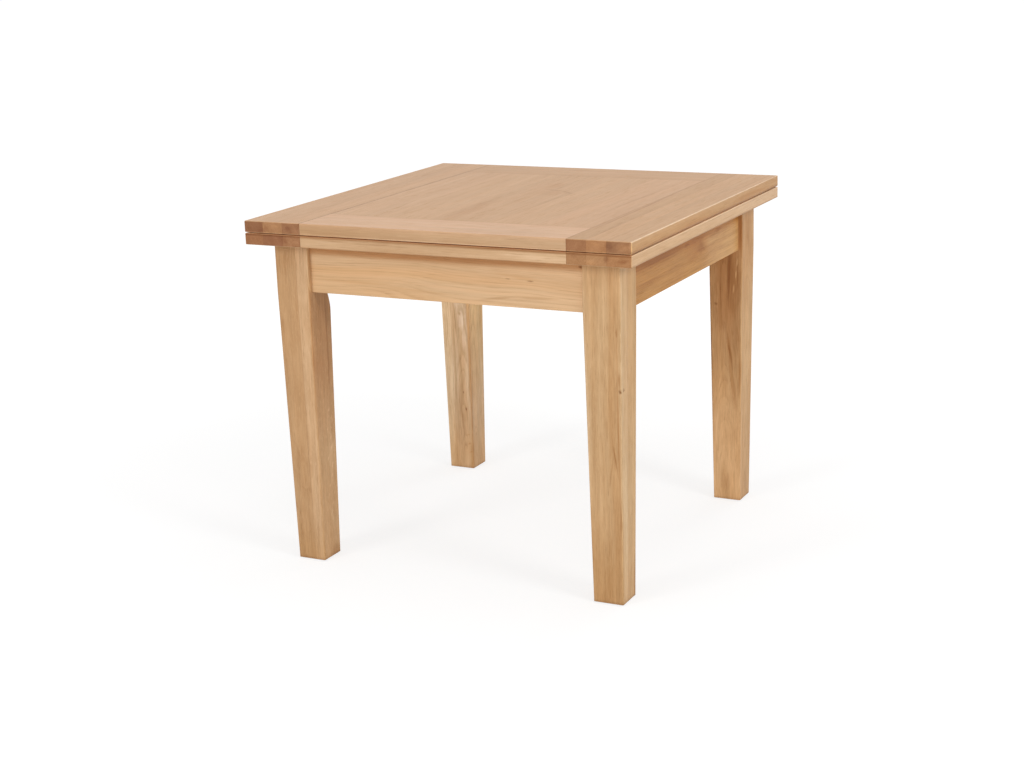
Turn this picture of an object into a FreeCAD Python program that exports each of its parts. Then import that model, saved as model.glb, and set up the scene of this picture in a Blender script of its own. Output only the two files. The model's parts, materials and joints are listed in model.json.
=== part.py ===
"""Square dining table whose folded double top swivels a quarter turn and opens to twice its length.

Frame: X to the right along the front edge, Y to the back, Z up, millimetres. The origin is on
the floor under the middle of the closed table. The lower leaf turns on an upright pivot bolt in
the frame. The upper leaf is hinged to the lower one along their back edges, and folds over by
half a turn once the top has been swivelled.
"""
import FreeCAD, Part
import math
import os

os.makedirs("parts", exist_ok=True)

V = FreeCAD.Vector
UP = V(0, 0, 1)
DOWN = V(0, 0, -1)
ROOT2 = math.sqrt(2.0)

# ---------------------------------------------------------------- driving dimensions
TOP_WIDTH = 900.0          # closed top, left to right
TOP_DEPTH = 900.0          # closed top, front to back
TABLE_HEIGHT = 780.0       # floor to the upper face of the closed top
LEAF_THICKNESS = 25.0
LEAF_GAP = 2.0             # open line between the folded leaves
LEAF_ROUND = 2.0           # eased arris round each leaf

STILE_WIDTH = 140.0        # side members of a leaf's frame, full depth of the leaf
RAIL_WIDTH = 126.0         # front and back members, between the stiles
BOARD_COUNT = 5            # boards of the middle panel
PANEL_GAP = 0.4            # fine open line round the panel
GROOVE_DEPTH = 10.0        # groove in stiles and rails for the panel's tongues
TONGUE_THICKNESS = 8.0     # tongues of the panel and tenons of the rails
TONGUE_END_GAP = 1.0       # room for the panel to swell
RAIL_TENON_LENGTH = 40.0
RAIL_TENON_INSET = 20.0    # from the leaf's outer edge to the tenon

OVERHANG = 44.0            # leaf edge to the legs' outer faces
LEG_SIDE = 83.0
LEG_TAPER = 8.0            # what each face loses down to the foot
LEG_ROUND = 2.0
LEG_CORNER_CUT = 28.0      # flat across the inner corner, measured along each inner face
CUT_RUNOUT_RADIUS = 191.0  # arc with which that flat runs out below
CUT_RUNOUT_DROP = 65.0     # from the apron's lower edge to the end of the run-out

APRON_HEIGHT = 106.0       # up to the leg tops
APRON_THICKNESS = 22.0
APRON_SETBACK = 10.0       # behind the legs' outer faces
APRON_ROUND = 1.5
APRON_TENON_THICKNESS = 10.0
APRON_TENON_LENGTH = 20.0
APRON_TENON_SHOULDER = 12.0

GLIDE_RADIUS = 18.0        # pads on the leg tops that carry the leaves
GLIDE_PROUD = 2.0
GLIDE_INLET = 3.0
FOOT_RADIUS = 14.0         # pads under the feet
FOOT_PROUD = 2.0
FOOT_INLET = 3.0

BRACKET_HEIGHT = 52.0      # folded steel plates inside the corners
BRACKET_RISE = 8.0         # above the aprons' lower edges
BRACKET_THICKNESS = 2.5
BRACKET_WING = 30.0
BRACKET_STANDOFF = 12.0    # from the leg's flat to the plate
BRACKET_SCREW_SPREAD = 16.0

HANGER_RADIUS = 4.0        # bolts that draw the legs to the brackets
HANGER_IN_LEG = 45.0
HANGER_TAIL = 4.0          # thread past the nut
HANGER_NUT_FLATS = 13.0
HANGER_NUT_HEIGHT = 6.5
HANGER_WASHER_RADIUS = 8.0
HANGER_WASHER_THICKNESS = 1.6

PIVOT_BOARD_WIDTH = 150.0  # board that carries the swivel, front apron to back apron
PIVOT_BOARD_THICKNESS = 22.0
PIVOT_BOARD_HOUSING = 8.0  # depth to which its ends are let into the aprons

SWIVEL_PLATE_SIDE = 130.0
BASE_PLATE_THICKNESS = 3.0
TURN_PLATE_THICKNESS = 3.0
BEARING_THICKNESS = 4.0
BEARING_RADIUS = 40.0
BEARING_BORE_RADIUS = 12.0
SWIVEL_SCREW_INSET = 11.0  # from a plate's edge to its screws
STOP_CIRCLE_RADIUS = 48.0  # from the pivot to the stop pin
STOP_PIN_RADIUS = 3.5
STOP_CLEARANCE = 0.35
SWIVEL_TURN = 90.0

PIVOT_RADIUS = 5.0
PIVOT_BOARD_BORE_RADIUS = 6.0
PIVOT_NUT_FLATS = 17.0
PIVOT_HEAD_HEIGHT = 6.4
PIVOT_NUT_HEIGHT = 10.0
PIVOT_TAIL = 2.0
PIVOT_WASHER_RADIUS = 15.0
PIVOT_WASHER_THICKNESS = 2.0
HEAD_POCKET_MARGIN = 1.2

HINGE_COUNT = 3
HINGE_END_INSET = 30.0      # from the ends of the back rail to the outer hinges
HINGE_LENGTH = 60.0
HINGE_PLATE_WIDTH = 28.0
HINGE_PLATE_THICKNESS = 2.0
HINGE_STANDOFF = 1.0       # hinge line outside the leaves' edges, half the open seam
KNUCKLE_RADIUS = 2.8
KNUCKLE_MIDDLE = 20.0      # length of the middle knuckle with its end gaps
KNUCKLE_GAP = 0.3
HINGE_PIN_RADIUS = 1.5
HINGE_SCREW_SPREAD = 20.0

BUMPER_RADIUS = 5.0        # pads that keep the folded leaves apart
BUMPER_INSET = 30.0

RUNNING_FIT = 0.05         # radial, shafts and screws in their holes
WASHER_CLEARANCE = 0.3     # radial, washers and plates round their bolts
RELIEF_CLEARANCE = 0.5     # wood round the hinge knuckles
OVERCUT = 1.0              # how far cutting tools stand past the face that they cut

# Countersunk screws: head radius, head depth, shank radius, length.
BRACKET_SCREW = (3.6, 2.0, 1.8, 16.0)
BASE_SCREW = (4.2, 2.4, 2.1, 20.0)
TURN_SCREW = (4.2, 2.4, 2.1, 18.0)
HINGE_SCREW = (3.0, 1.6, 1.5, 15.0)
SCREW_TIP = 3.0

# ---------------------------------------------------------------- derived places
half_width = TOP_WIDTH / 2
half_depth = TOP_DEPTH / 2
upper_top = TABLE_HEIGHT
upper_bottom = upper_top - LEAF_THICKNESS
lower_top = upper_bottom - LEAF_GAP
lower_bottom = lower_top - LEAF_THICKNESS
leg_top = lower_bottom - GLIDE_PROUD
apron_bottom = leg_top - APRON_HEIGHT
stile_inner = half_width - STILE_WIDTH
rail_inner = half_depth - RAIL_WIDTH

leg_out = (half_width - OVERHANG, half_depth - OVERHANG)
leg_in = (leg_out[0] - LEG_SIDE, leg_out[1] - LEG_SIDE)
leg_mid = (leg_out[0] - LEG_SIDE / 2, leg_out[1] - LEG_SIDE / 2)
apron_out = (leg_out[0] - APRON_SETBACK, leg_out[1] - APRON_SETBACK)
apron_in = (apron_out[0] - APRON_THICKNESS, apron_out[1] - APRON_THICKNESS)
flat_depth = LEG_CORNER_CUT / ROOT2
bracket_low = apron_bottom + BRACKET_RISE
bracket_mid = bracket_low + BRACKET_HEIGHT / 2

hinge_y = half_depth + HINGE_STANDOFF
hinge_z = (upper_bottom + lower_top) / 2
# A quarter turn about this point carries the hinge line over the middle of the frame.
pivot = (hinge_y / 2, hinge_y / 2)
turn_plate_bottom = lower_bottom - TURN_PLATE_THICKNESS
base_plate_top = turn_plate_bottom - BEARING_THICKNESS
base_plate_bottom = base_plate_top - BASE_PLATE_THICKNESS
board_bottom = base_plate_bottom - PIVOT_BOARD_THICKNESS
washer_bottom = board_bottom - PIVOT_WASHER_THICKNESS
nut_bottom = washer_bottom - PIVOT_NUT_HEIGHT

CORNERS = {"front_left": (-1, -1), "front_right": (1, -1), "back_left": (-1, 1), "back_right": (1, 1)}
nodes = {}


# ---------------------------------------------------------------- shapes used throughout
def box(x0, x1, y0, y1, z0, z1):
    return Part.makeBox(x1 - x0, y1 - y0, z1 - z0, V(x0, y0, z0))


def rod(radius, start, end):
    run = end - start
    return Part.makeCylinder(radius, run.Length, start, run)


def ring(outer, inner, start, end):
    return rod(outer, start, end).cut(rod(inner, start, end))


def hexagon(flats, start, end, bore):
    """A nut or a bolt head with its axis from start to end."""
    run = end - start
    reach = flats / math.sqrt(3.0)
    points = []
    for i in range(7):
        angle = math.radians(60 * i)
        points.append(V(reach * math.cos(angle), reach * math.sin(angle), 0))
    solid = Part.Face(Part.makePolygon(points)).extrude(V(0, 0, run.Length))
    solid.Placement = FreeCAD.Placement(start, FreeCAD.Rotation(UP, run))
    if bore:
        solid = solid.cut(rod(bore, start, end))
    return solid


def screw(head, into, size, clearance=0.0):
    """A countersunk screw with its head's face at head, or with a clearance the hole for it."""
    head_radius, head_depth, shank_radius, length = size
    into = V(into).normalize()
    seat = head + into * head_depth
    tip = head + into * (length - SCREW_TIP)
    body = Part.makeCone(head_radius + clearance, shank_radius + clearance, head_depth, head, into)
    body = body.fuse(rod(shank_radius + clearance, seat, tip))
    body = body.fuse(Part.makeCone(shank_radius + clearance, clearance, SCREW_TIP, tip, into))
    if clearance:
        body = body.fuse(rod(head_radius + clearance, head - into * OVERCUT, head))
        body = body.fuse(rod(clearance, tip, head + into * (length + clearance)))
    return body.removeSplitter()


def mirrored(shape, signs):
    """The copy of a back right-hand piece for another corner."""
    if signs[0] < 0:
        shape = shape.mirror(V(0, 0, 0), V(1, 0, 0))
    if signs[1] < 0:
        shape = shape.mirror(V(0, 0, 0), V(0, 1, 0))
    return shape


def rounded_outline(inset, z):
    """A leg's outline at height z, inset from its full size: an arc and a side in turn."""
    x0, x1 = leg_in[0] + inset + LEG_ROUND, leg_out[0] - inset - LEG_ROUND
    y0, y1 = leg_in[1] + inset + LEG_ROUND, leg_out[1] - inset - LEG_ROUND
    arcs = []
    for turn, (x, y) in enumerate([(x1, y1), (x0, y1), (x0, y0), (x1, y0)]):
        on_arc = []
        for degrees in (0, 45, 90):
            angle = math.radians(90 * turn + degrees)
            on_arc.append(V(x + LEG_ROUND * math.cos(angle), y + LEG_ROUND * math.sin(angle), z))
        arcs.append(Part.Arc(*on_arc).toShape())
    edges = []
    for this, following in zip(arcs, arcs[1:] + arcs[:1]):
        edges.append(this)
        edges.append(Part.makeLine(this.Vertexes[-1].Point, following.Vertexes[0].Point))
    return edges


def between_outlines(low, high):
    """The solid between two such outlines, with flat sides."""
    faces = [Part.Face(Part.Wire(low)), Part.Face(Part.Wire(high))]
    for i, (below, above) in enumerate(zip(low, high)):
        if i % 2 == 0:
            faces.append(Part.makeRuledSurface(below, above))
        else:
            a, b = [vertex.Point for vertex in below.Vertexes]
            c, d = [vertex.Point for vertex in above.Vertexes]
            faces.append(Part.Face(Part.makePolygon([a, b, d, c, a])))
    shell = Part.makeShell(faces)
    shell.sewShape()
    solid = Part.makeSolid(shell)
    if solid.Volume < 0:
        solid.reverse()
    return solid


# ---------------------------------------------------------------- leaves
def leaf_pieces(bottom):
    """Stiles, rails and boards of one leaf: flush panel in a frame, tongued all round."""
    top = bottom + LEAF_THICKNESS
    middle = (bottom + top) / 2
    low = middle - TONGUE_THICKNESS / 2
    high = middle + TONGUE_THICKNESS / 2
    blank = box(-half_width, half_width, -half_depth, half_depth, bottom, top)
    blank = blank.makeFillet(LEAF_ROUND, blank.Edges)
    tenon_start = rail_inner + GROOVE_DEPTH
    tenon_end = half_depth - RAIL_TENON_INSET
    pieces = {}

    stile = blank.common(box(stile_inner, half_width, -half_depth, half_depth, bottom, top))
    stile = stile.cut(box(stile_inner, stile_inner + GROOVE_DEPTH, -rail_inner, rail_inner, low, high))
    for y0, y1 in ((tenon_start, tenon_end), (-tenon_end, -tenon_start)):
        stile = stile.cut(box(stile_inner, stile_inner + RAIL_TENON_LENGTH, y0, y1, low, high))
    pieces["stile_right"] = stile
    pieces["stile_left"] = mirrored(stile, (-1, 1))

    rail = blank.common(box(-stile_inner, stile_inner, rail_inner, half_depth, bottom, top))
    rail = rail.cut(box(-stile_inner, stile_inner, rail_inner, rail_inner + GROOVE_DEPTH, low, high))
    reach = stile_inner + RAIL_TENON_LENGTH
    for x0, x1 in ((-reach, -stile_inner), (stile_inner, reach)):
        rail = rail.fuse(box(x0, x1, tenon_start, tenon_end, low, high))
    pieces["rail_back"] = rail
    pieces["rail_front"] = mirrored(rail, (1, -1))

    board_width = 2 * stile_inner / BOARD_COUNT
    board_end = rail_inner - PANEL_GAP
    tongue_reach = GROOVE_DEPTH - TONGUE_END_GAP
    for i in range(BOARD_COUNT):
        x0 = -stile_inner + i * board_width
        x1 = x0 + board_width
        first = i == 0
        last = i == BOARD_COUNT - 1
        body_x0 = x0 + PANEL_GAP if first else x0
        body_x1 = x1 - PANEL_GAP if last else x1
        board = box(body_x0, body_x1, -board_end, board_end, bottom, top)
        end = rail_inner + tongue_reach
        board = board.fuse(box(body_x0, body_x1, -end, end, low, high))
        if first:
            board = board.fuse(box(x0 - tongue_reach, body_x0, -rail_inner, rail_inner, low, high))
        if last:
            board = board.fuse(box(body_x1, x1 + tongue_reach, -rail_inner, rail_inner, low, high))
        pieces["board_%d" % (i + 1)] = board.removeSplitter()
    return pieces


# ---------------------------------------------------------------- hinges
def hinge_places():
    last = stile_inner - HINGE_END_INSET - HINGE_LENGTH / 2
    return [last * (2 * i / (HINGE_COUNT - 1) - 1) for i in range(HINGE_COUNT)]


def along_hinge(radius, x0, x1):
    return rod(radius, V(x0, hinge_y, hinge_z), V(x1, hinge_y, hinge_z))


def hinge_zones(x):
    """The lengths of the two outer knuckles and of the middle one, between half gaps."""
    outer = HINGE_LENGTH / 2
    inner = KNUCKLE_MIDDLE / 2
    half_gap = KNUCKLE_GAP / 2
    outers = [(x - outer, x - inner - half_gap), (x + inner + half_gap, x + outer)]
    return outers, [(x - inner + half_gap, x + inner - half_gap)]


def hinge_plate(x, face, sign):
    """One flap let flush into a leaf's face: sign is 1 for the upper leaf, -1 for the lower."""
    outers, middles = hinge_zones(x)
    own, other = (middles, outers) if sign > 0 else (outers, middles)
    back = face + sign * HINGE_PLATE_THICKNESS
    low, high = min(face, back), max(face, back)
    flap = box(x - HINGE_LENGTH / 2, x + HINGE_LENGTH / 2, half_depth - HINGE_PLATE_WIDTH, hinge_y, low, high)
    for x0, x1 in other:
        flap = flap.cut(along_hinge(KNUCKLE_RADIUS + KNUCKLE_GAP, x0 - KNUCKLE_GAP, x1 + KNUCKLE_GAP))
    for x0, x1 in own:
        flap = flap.fuse(along_hinge(KNUCKLE_RADIUS, x0, x1))
    flap = flap.cut(along_hinge(HINGE_PIN_RADIUS + RUNNING_FIT, x - HINGE_LENGTH, x + HINGE_LENGTH))
    return flap


def hinge_screw_heads(x, face):
    y = half_depth - HINGE_PLATE_WIDTH / 2
    return [V(x + step * HINGE_SCREW_SPREAD, y, face) for step in (-1, 0, 1)]


def fit_hinges(pieces, prefix, face, sign):
    """Lets the flaps into the back rail of a leaf and makes the flaps and their screws."""
    rail = pieces["rail_back"]
    screws = []
    into = V(0, 0, sign)
    for number, x in enumerate(hinge_places()):
        flap = hinge_plate(x, face, sign)
        back = face + sign * HINGE_PLATE_THICKNESS
        low, high = min(face, back), max(face, back)
        half = HINGE_LENGTH / 2
        inlet = box(x - half, x + half, half_depth - HINGE_PLATE_WIDTH, hinge_y, low, high)
        relief_end = half + RELIEF_CLEARANCE
        relief = along_hinge(KNUCKLE_RADIUS + RELIEF_CLEARANCE, x - relief_end, x + relief_end)
        rail = rail.cut(inlet.fuse(relief))
        for head in hinge_screw_heads(x, face):
            hole = screw(head, into, HINGE_SCREW, RUNNING_FIT)
            flap = flap.cut(hole)
            rail = rail.cut(hole)
            screws.append(screw(head, into, HINGE_SCREW))
        nodes["hinge_%s_%d" % (prefix, number + 1)] = flap
    pieces["rail_back"] = rail
    nodes["hinge_screws_" + prefix] = Part.makeCompound(screws)


def hinge_pins():
    half = HINGE_LENGTH / 2
    return [along_hinge(HINGE_PIN_RADIUS, x - half, x + half) for x in hinge_places()]


# ---------------------------------------------------------------- swivel
def at_pivot(z, dx=0.0, dy=0.0):
    return V(pivot[0] + dx, pivot[1] + dy, z)


def swivel_screw_places(z):
    step = SWIVEL_PLATE_SIDE / 2 - SWIVEL_SCREW_INSET
    return [at_pivot(z, sx * step, sy * step) for sx in (-1, 1) for sy in (-1, 1)]


def swivel_square(z0, z1):
    half = SWIVEL_PLATE_SIDE / 2
    return box(pivot[0] - half, pivot[0] + half, pivot[1] - half, pivot[1] + half, z0, z1)


def stop_slot():
    """The curved slot that stops the swivel after a quarter turn."""
    radius = STOP_PIN_RADIUS + STOP_CLEARANCE
    low = base_plate_bottom - OVERCUT
    high = base_plate_top + OVERCUT
    near = STOP_CIRCLE_RADIUS - radius
    far = STOP_CIRCLE_RADIUS + radius
    corners = [at_pivot(low, -near), at_pivot(low, -far), at_pivot(high, -far), at_pivot(high, -near)]
    face = Part.Face(Part.makePolygon(corners + corners[:1]))
    slot = face.revolve(at_pivot(low), UP, SWIVEL_TURN)
    for degrees in (180.0, 180.0 + SWIVEL_TURN):
        angle = math.radians(degrees)
        dx = STOP_CIRCLE_RADIUS * math.cos(angle)
        dy = STOP_CIRCLE_RADIUS * math.sin(angle)
        slot = slot.fuse(rod(radius, at_pivot(low, dx, dy), at_pivot(high, dx, dy)))
    return slot


def make_swivel(lower):
    """The pivot board, the two plates, the ring between them, and the bolt through them all."""
    half = PIVOT_BOARD_WIDTH / 2
    board_reach = apron_in[1] + PIVOT_BOARD_HOUSING
    board = box(pivot[0] - half, pivot[0] + half, -board_reach, board_reach, board_bottom, base_plate_bottom)
    board = board.cut(rod(PIVOT_BOARD_BORE_RADIUS, at_pivot(board_bottom), at_pivot(base_plate_bottom)))

    base = swivel_square(base_plate_bottom, base_plate_top)
    base = base.cut(rod(PIVOT_RADIUS + RUNNING_FIT, at_pivot(base_plate_bottom), at_pivot(base_plate_top)))
    base = base.cut(stop_slot())
    base_screws = []
    for head in swivel_screw_places(base_plate_top):
        hole = screw(head, DOWN, BASE_SCREW, RUNNING_FIT)
        base = base.cut(hole)
        board = board.cut(hole)
        base_screws.append(screw(head, DOWN, BASE_SCREW))

    turn = swivel_square(turn_plate_bottom, lower_bottom)
    turn = turn.cut(rod(PIVOT_RADIUS + RUNNING_FIT, at_pivot(turn_plate_bottom), at_pivot(lower_bottom)))
    stop_top = at_pivot(lower_bottom, -STOP_CIRCLE_RADIUS)
    stop_low = at_pivot(base_plate_bottom + STOP_CLEARANCE, -STOP_CIRCLE_RADIUS)
    turn = turn.cut(rod(STOP_PIN_RADIUS + RUNNING_FIT, stop_low, stop_top))
    turn_screws = []
    for head in swivel_screw_places(turn_plate_bottom):
        hole = screw(head, UP, TURN_SCREW, RUNNING_FIT)
        turn = turn.cut(hole)
        for name in lower:
            lower[name] = lower[name].cut(hole)
        turn_screws.append(screw(head, UP, TURN_SCREW))

    head_top = lower_bottom + PIVOT_HEAD_HEIGHT
    pocket_radius = PIVOT_NUT_FLATS / math.sqrt(3.0) + HEAD_POCKET_MARGIN
    pocket = rod(pocket_radius, at_pivot(lower_bottom), at_pivot(head_top + HEAD_POCKET_MARGIN))
    for name in lower:
        lower[name] = lower[name].cut(pocket)
    bolt = rod(PIVOT_RADIUS, at_pivot(nut_bottom - PIVOT_TAIL), at_pivot(lower_bottom))
    bolt = bolt.fuse(hexagon(PIVOT_NUT_FLATS, at_pivot(lower_bottom), at_pivot(head_top), 0))

    nodes["pivot_board"] = board
    nodes["swivel_base_plate"] = base
    nodes["base_plate_screws"] = Part.makeCompound(base_screws)
    nodes["swivel_bearing_ring"] = ring(
        BEARING_RADIUS, BEARING_BORE_RADIUS, at_pivot(base_plate_top), at_pivot(turn_plate_bottom))
    nodes["swivel_turn_plate"] = turn
    nodes["turn_plate_screws"] = Part.makeCompound(turn_screws)
    nodes["swivel_stop_pin"] = rod(STOP_PIN_RADIUS, stop_low, stop_top)
    nodes["pivot_bolt"] = bolt
    nodes["pivot_washer"] = ring(
        PIVOT_WASHER_RADIUS, PIVOT_RADIUS + WASHER_CLEARANCE, at_pivot(washer_bottom), at_pivot(board_bottom))
    nodes["pivot_lock_nut"] = hexagon(
        PIVOT_NUT_FLATS, at_pivot(nut_bottom), at_pivot(washer_bottom), PIVOT_RADIUS + RUNNING_FIT)


# ---------------------------------------------------------------- frame
def across_corner(depth, z, aside=0.0):
    """A point of the back right-hand corner: depth into the leg from its inner corner."""
    x = leg_in[0] + (depth - aside) / ROOT2
    y = leg_in[1] + (depth + aside) / ROOT2
    return V(x, y, z)


def corner_flat_cut():
    """What the flat across the leg's inner corner takes away, with its curved run-out."""
    end_z = apron_bottom - CUT_RUNOUT_DROP
    taper_share = CUT_RUNOUT_DROP / (apron_bottom - FOOT_PROUD)
    start_depth = ROOT2 * LEG_TAPER * taper_share
    turn = math.acos(1 - (flat_depth - start_depth) / CUT_RUNOUT_RADIUS)
    on_arc = []
    for angle in (0, turn / 2, turn):
        depth = start_depth + CUT_RUNOUT_RADIUS * (1 - math.cos(angle))
        on_arc.append(across_corner(depth, end_z + CUT_RUNOUT_RADIUS * math.sin(angle)))
    high = leg_top + OVERCUT
    outside = -LEG_CORNER_CUT
    outline = [on_arc[2], across_corner(flat_depth, high), across_corner(outside, high)]
    outline += [across_corner(outside, end_z), on_arc[0]]
    edges = [Part.Arc(*on_arc).toShape()]
    edges += [Part.makeLine(a, b) for a, b in zip(outline, outline[1:])]
    face = Part.Face(Part.Wire(edges))
    aside = V(-1, 1, 0).normalize() * LEG_CORNER_CUT * 2
    face.translate(aside * -0.5)
    return face.extrude(aside)


def apron_tenon(along, start, end):
    """A tenon in place: along is 0 for an apron that runs in X, 1 for one that runs in Y."""
    across = 1 - along
    middle = apron_out[across] - APRON_THICKNESS / 2
    a0 = middle - APRON_TENON_THICKNESS / 2
    a1 = middle + APRON_TENON_THICKNESS / 2
    low = apron_bottom + APRON_TENON_SHOULDER
    high = leg_top - APRON_TENON_SHOULDER
    if along == 0:
        return box(start, end, a0, a1, low, high)
    return box(a0, a1, start, end, low, high)


def leg_top_glide():
    x, y = leg_mid
    return rod(GLIDE_RADIUS, V(x, y, leg_top - GLIDE_INLET), V(x, y, lower_bottom))


def foot_glide():
    x, y = leg_mid
    return rod(FOOT_RADIUS, V(x, y, 0), V(x, y, FOOT_PROUD + FOOT_INLET))


def make_leg():
    """The back right-hand leg."""
    foot_outline = rounded_outline(LEG_TAPER, FOOT_PROUD)
    taper_outline = rounded_outline(0.0, apron_bottom)
    leg = between_outlines(foot_outline, taper_outline)
    leg = leg.fuse(Part.Face(Part.Wire(taper_outline)).extrude(V(0, 0, leg_top - apron_bottom)))
    leg = leg.cut(corner_flat_cut())
    for along in (0, 1):
        leg = leg.cut(apron_tenon(along, leg_in[along], leg_in[along] + APRON_TENON_LENGTH))
    bolt_hole = rod(
        HANGER_RADIUS + RUNNING_FIT,
        across_corner(flat_depth - OVERCUT, bracket_mid),
        across_corner(flat_depth + HANGER_IN_LEG, bracket_mid))
    leg = leg.cut(bolt_hole)
    return leg.cut(leg_top_glide()).cut(foot_glide())


def make_apron(along):
    """The back apron (along 0) or the right-hand one (along 1)."""
    across = 1 - along
    reach = leg_in[along]
    if along == 0:
        apron = box(-reach, reach, apron_in[across], apron_out[across], apron_bottom, leg_top)
    else:
        apron = box(apron_in[across], apron_out[across], -reach, reach, apron_bottom, leg_top)
    lower_edges = []
    for edge in apron.Edges:
        long_way = edge.Length > 2 * reach - OVERCUT
        if long_way and abs(edge.CenterOfMass.z - apron_bottom) < OVERCUT:
            lower_edges.append(edge)
    apron = apron.makeFillet(APRON_ROUND, lower_edges)
    tip = reach + APRON_TENON_LENGTH
    apron = apron.fuse(apron_tenon(along, -tip, -reach))
    apron = apron.fuse(apron_tenon(along, reach, tip))
    return apron


def make_bracket():
    """The folded plate of the back right-hand corner, with its wings on the aprons."""
    plate_depth = flat_depth - BRACKET_STANDOFF
    inner = []
    outer = []
    for points, thickness in ((outer, 0.0), (inner, BRACKET_THICKNESS)):
        face_x = apron_in[0] - thickness
        face_y = apron_in[1] - thickness
        diagonal = leg_in[0] + leg_in[1] + ROOT2 * (plate_depth - thickness)
        wing_y = diagonal_wing(0)
        wing_x = diagonal_wing(1)
        points.append(V(face_x, wing_y, bracket_low))
        points.append(V(face_x, diagonal - face_x, bracket_low))
        points.append(V(diagonal - face_y, face_y, bracket_low))
        points.append(V(wing_x, face_y, bracket_low))
    outline = outer + inner[::-1]
    plate = Part.Face(Part.makePolygon(outline + outline[:1])).extrude(V(0, 0, BRACKET_HEIGHT))
    hole = rod(
        HANGER_RADIUS + WASHER_CLEARANCE,
        across_corner(plate_depth - 2 * BRACKET_THICKNESS, bracket_mid),
        across_corner(plate_depth + BRACKET_THICKNESS, bracket_mid))
    return plate.cut(hole)


def diagonal_wing(side):
    """Where a wing ends: its Y on the right-hand apron (side 0), its X on the back one (side 1)."""
    plate_depth = flat_depth - BRACKET_STANDOFF
    diagonal = leg_in[0] + leg_in[1] + ROOT2 * plate_depth
    return diagonal - apron_in[side] - BRACKET_WING


def bracket_screw_places():
    """Heads and directions of one bracket's four screws."""
    places = []
    for z in (bracket_mid - BRACKET_SCREW_SPREAD, bracket_mid + BRACKET_SCREW_SPREAD):
        y = diagonal_wing(0) + BRACKET_WING / 2
        x = diagonal_wing(1) + BRACKET_WING / 2
        places.append((V(apron_in[0] - BRACKET_THICKNESS, y, z), V(1, 0, 0)))
        places.append((V(x, apron_in[1] - BRACKET_THICKNESS, z), V(0, 1, 0)))
    return places


def hanger_parts():
    """The bolt, washer and nut of the back right-hand corner."""
    plate_face = flat_depth - BRACKET_STANDOFF - BRACKET_THICKNESS
    washer_face = plate_face - HANGER_WASHER_THICKNESS
    nut_face = washer_face - HANGER_NUT_HEIGHT
    bolt = rod(
        HANGER_RADIUS,
        across_corner(nut_face - HANGER_TAIL, bracket_mid),
        across_corner(flat_depth + HANGER_IN_LEG, bracket_mid))
    washer = ring(
        HANGER_WASHER_RADIUS, HANGER_RADIUS + WASHER_CLEARANCE,
        across_corner(washer_face, bracket_mid), across_corner(plate_face, bracket_mid))
    nut = hexagon(
        HANGER_NUT_FLATS,
        across_corner(nut_face, bracket_mid), across_corner(washer_face, bracket_mid),
        HANGER_RADIUS + RUNNING_FIT)
    return bolt, washer, nut


def make_frame():
    leg = make_leg()
    aprons = {"front": make_apron(0), "right": make_apron(1)}
    aprons["back"] = aprons["front"]
    aprons["front"] = mirrored(aprons["front"], (1, -1))
    aprons["left"] = mirrored(aprons["right"], (-1, 1))
    board = nodes["pivot_board"]
    for side in ("front", "back"):
        aprons[side] = aprons[side].cut(board)

    bracket = make_bracket()
    screws = []
    for head, into in bracket_screw_places():
        hole = screw(head, into, BRACKET_SCREW, RUNNING_FIT)
        bracket = bracket.cut(hole)
        screws.append(screw(head, into, BRACKET_SCREW))
        for signs in CORNERS.values():
            side = ("right" if signs[0] > 0 else "left") if into.x else ("back" if signs[1] > 0 else "front")
            aprons[side] = aprons[side].cut(mirrored(hole, signs))
    for side, apron in aprons.items():
        nodes["apron_" + side] = apron

    bolt, washer, nut = hanger_parts()
    groups = {
        "corner_brackets": [bracket], "bracket_screws": screws, "hanger_bolts": [bolt],
        "hanger_washers": [washer], "hanger_nuts": [nut], "leg_top_glides": [leg_top_glide()],
        "foot_glides": [foot_glide()]}
    for name, pieces in groups.items():
        copies = [mirrored(piece, signs) for signs in CORNERS.values() for piece in pieces]
        nodes[name] = Part.makeCompound(copies)
    for corner, signs in CORNERS.items():
        nodes["leg_" + corner] = mirrored(leg, signs)


# ---------------------------------------------------------------- the whole table
def make_bumpers():
    x = half_width - BUMPER_INSET
    y = half_depth - BUMPER_INSET
    return [
        rod(BUMPER_RADIUS, V(sx * x, sy * y, lower_top), V(sx * x, sy * y, upper_bottom))
        for sx, sy in CORNERS.values()]


def make_table():
    lower = leaf_pieces(lower_bottom)
    upper = leaf_pieces(upper_bottom)
    fit_hinges(lower, "lower", lower_top, -1)
    fit_hinges(upper, "upper", upper_bottom, 1)
    nodes["hinge_pins"] = Part.makeCompound(hinge_pins())
    nodes["leaf_bumpers"] = Part.makeCompound(make_bumpers())
    make_swivel(lower)
    make_frame()
    for prefix, pieces in (("lower", lower), ("upper", upper)):
        for name, piece in pieces.items():
            nodes[prefix + "_" + name] = piece


make_table()
for name, shape in nodes.items():
    shape.exportStep("parts/%s.step" % name)
print(len(nodes), "nodes")
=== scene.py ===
"""Looks of a square swivel extending table in pale oak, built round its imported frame.

Metres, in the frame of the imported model: X to the right along the front edge, Y to the back,
Z up, origin on the floor under the middle of the closed table. All visible wood, steel, brass,
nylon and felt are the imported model's own solids; this script gives each piece its finish, and
lays a pale floor, soft light and a camera round them.
"""
import json
import math

import bmesh
import bpy
from mathutils import Matrix, Vector


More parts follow.
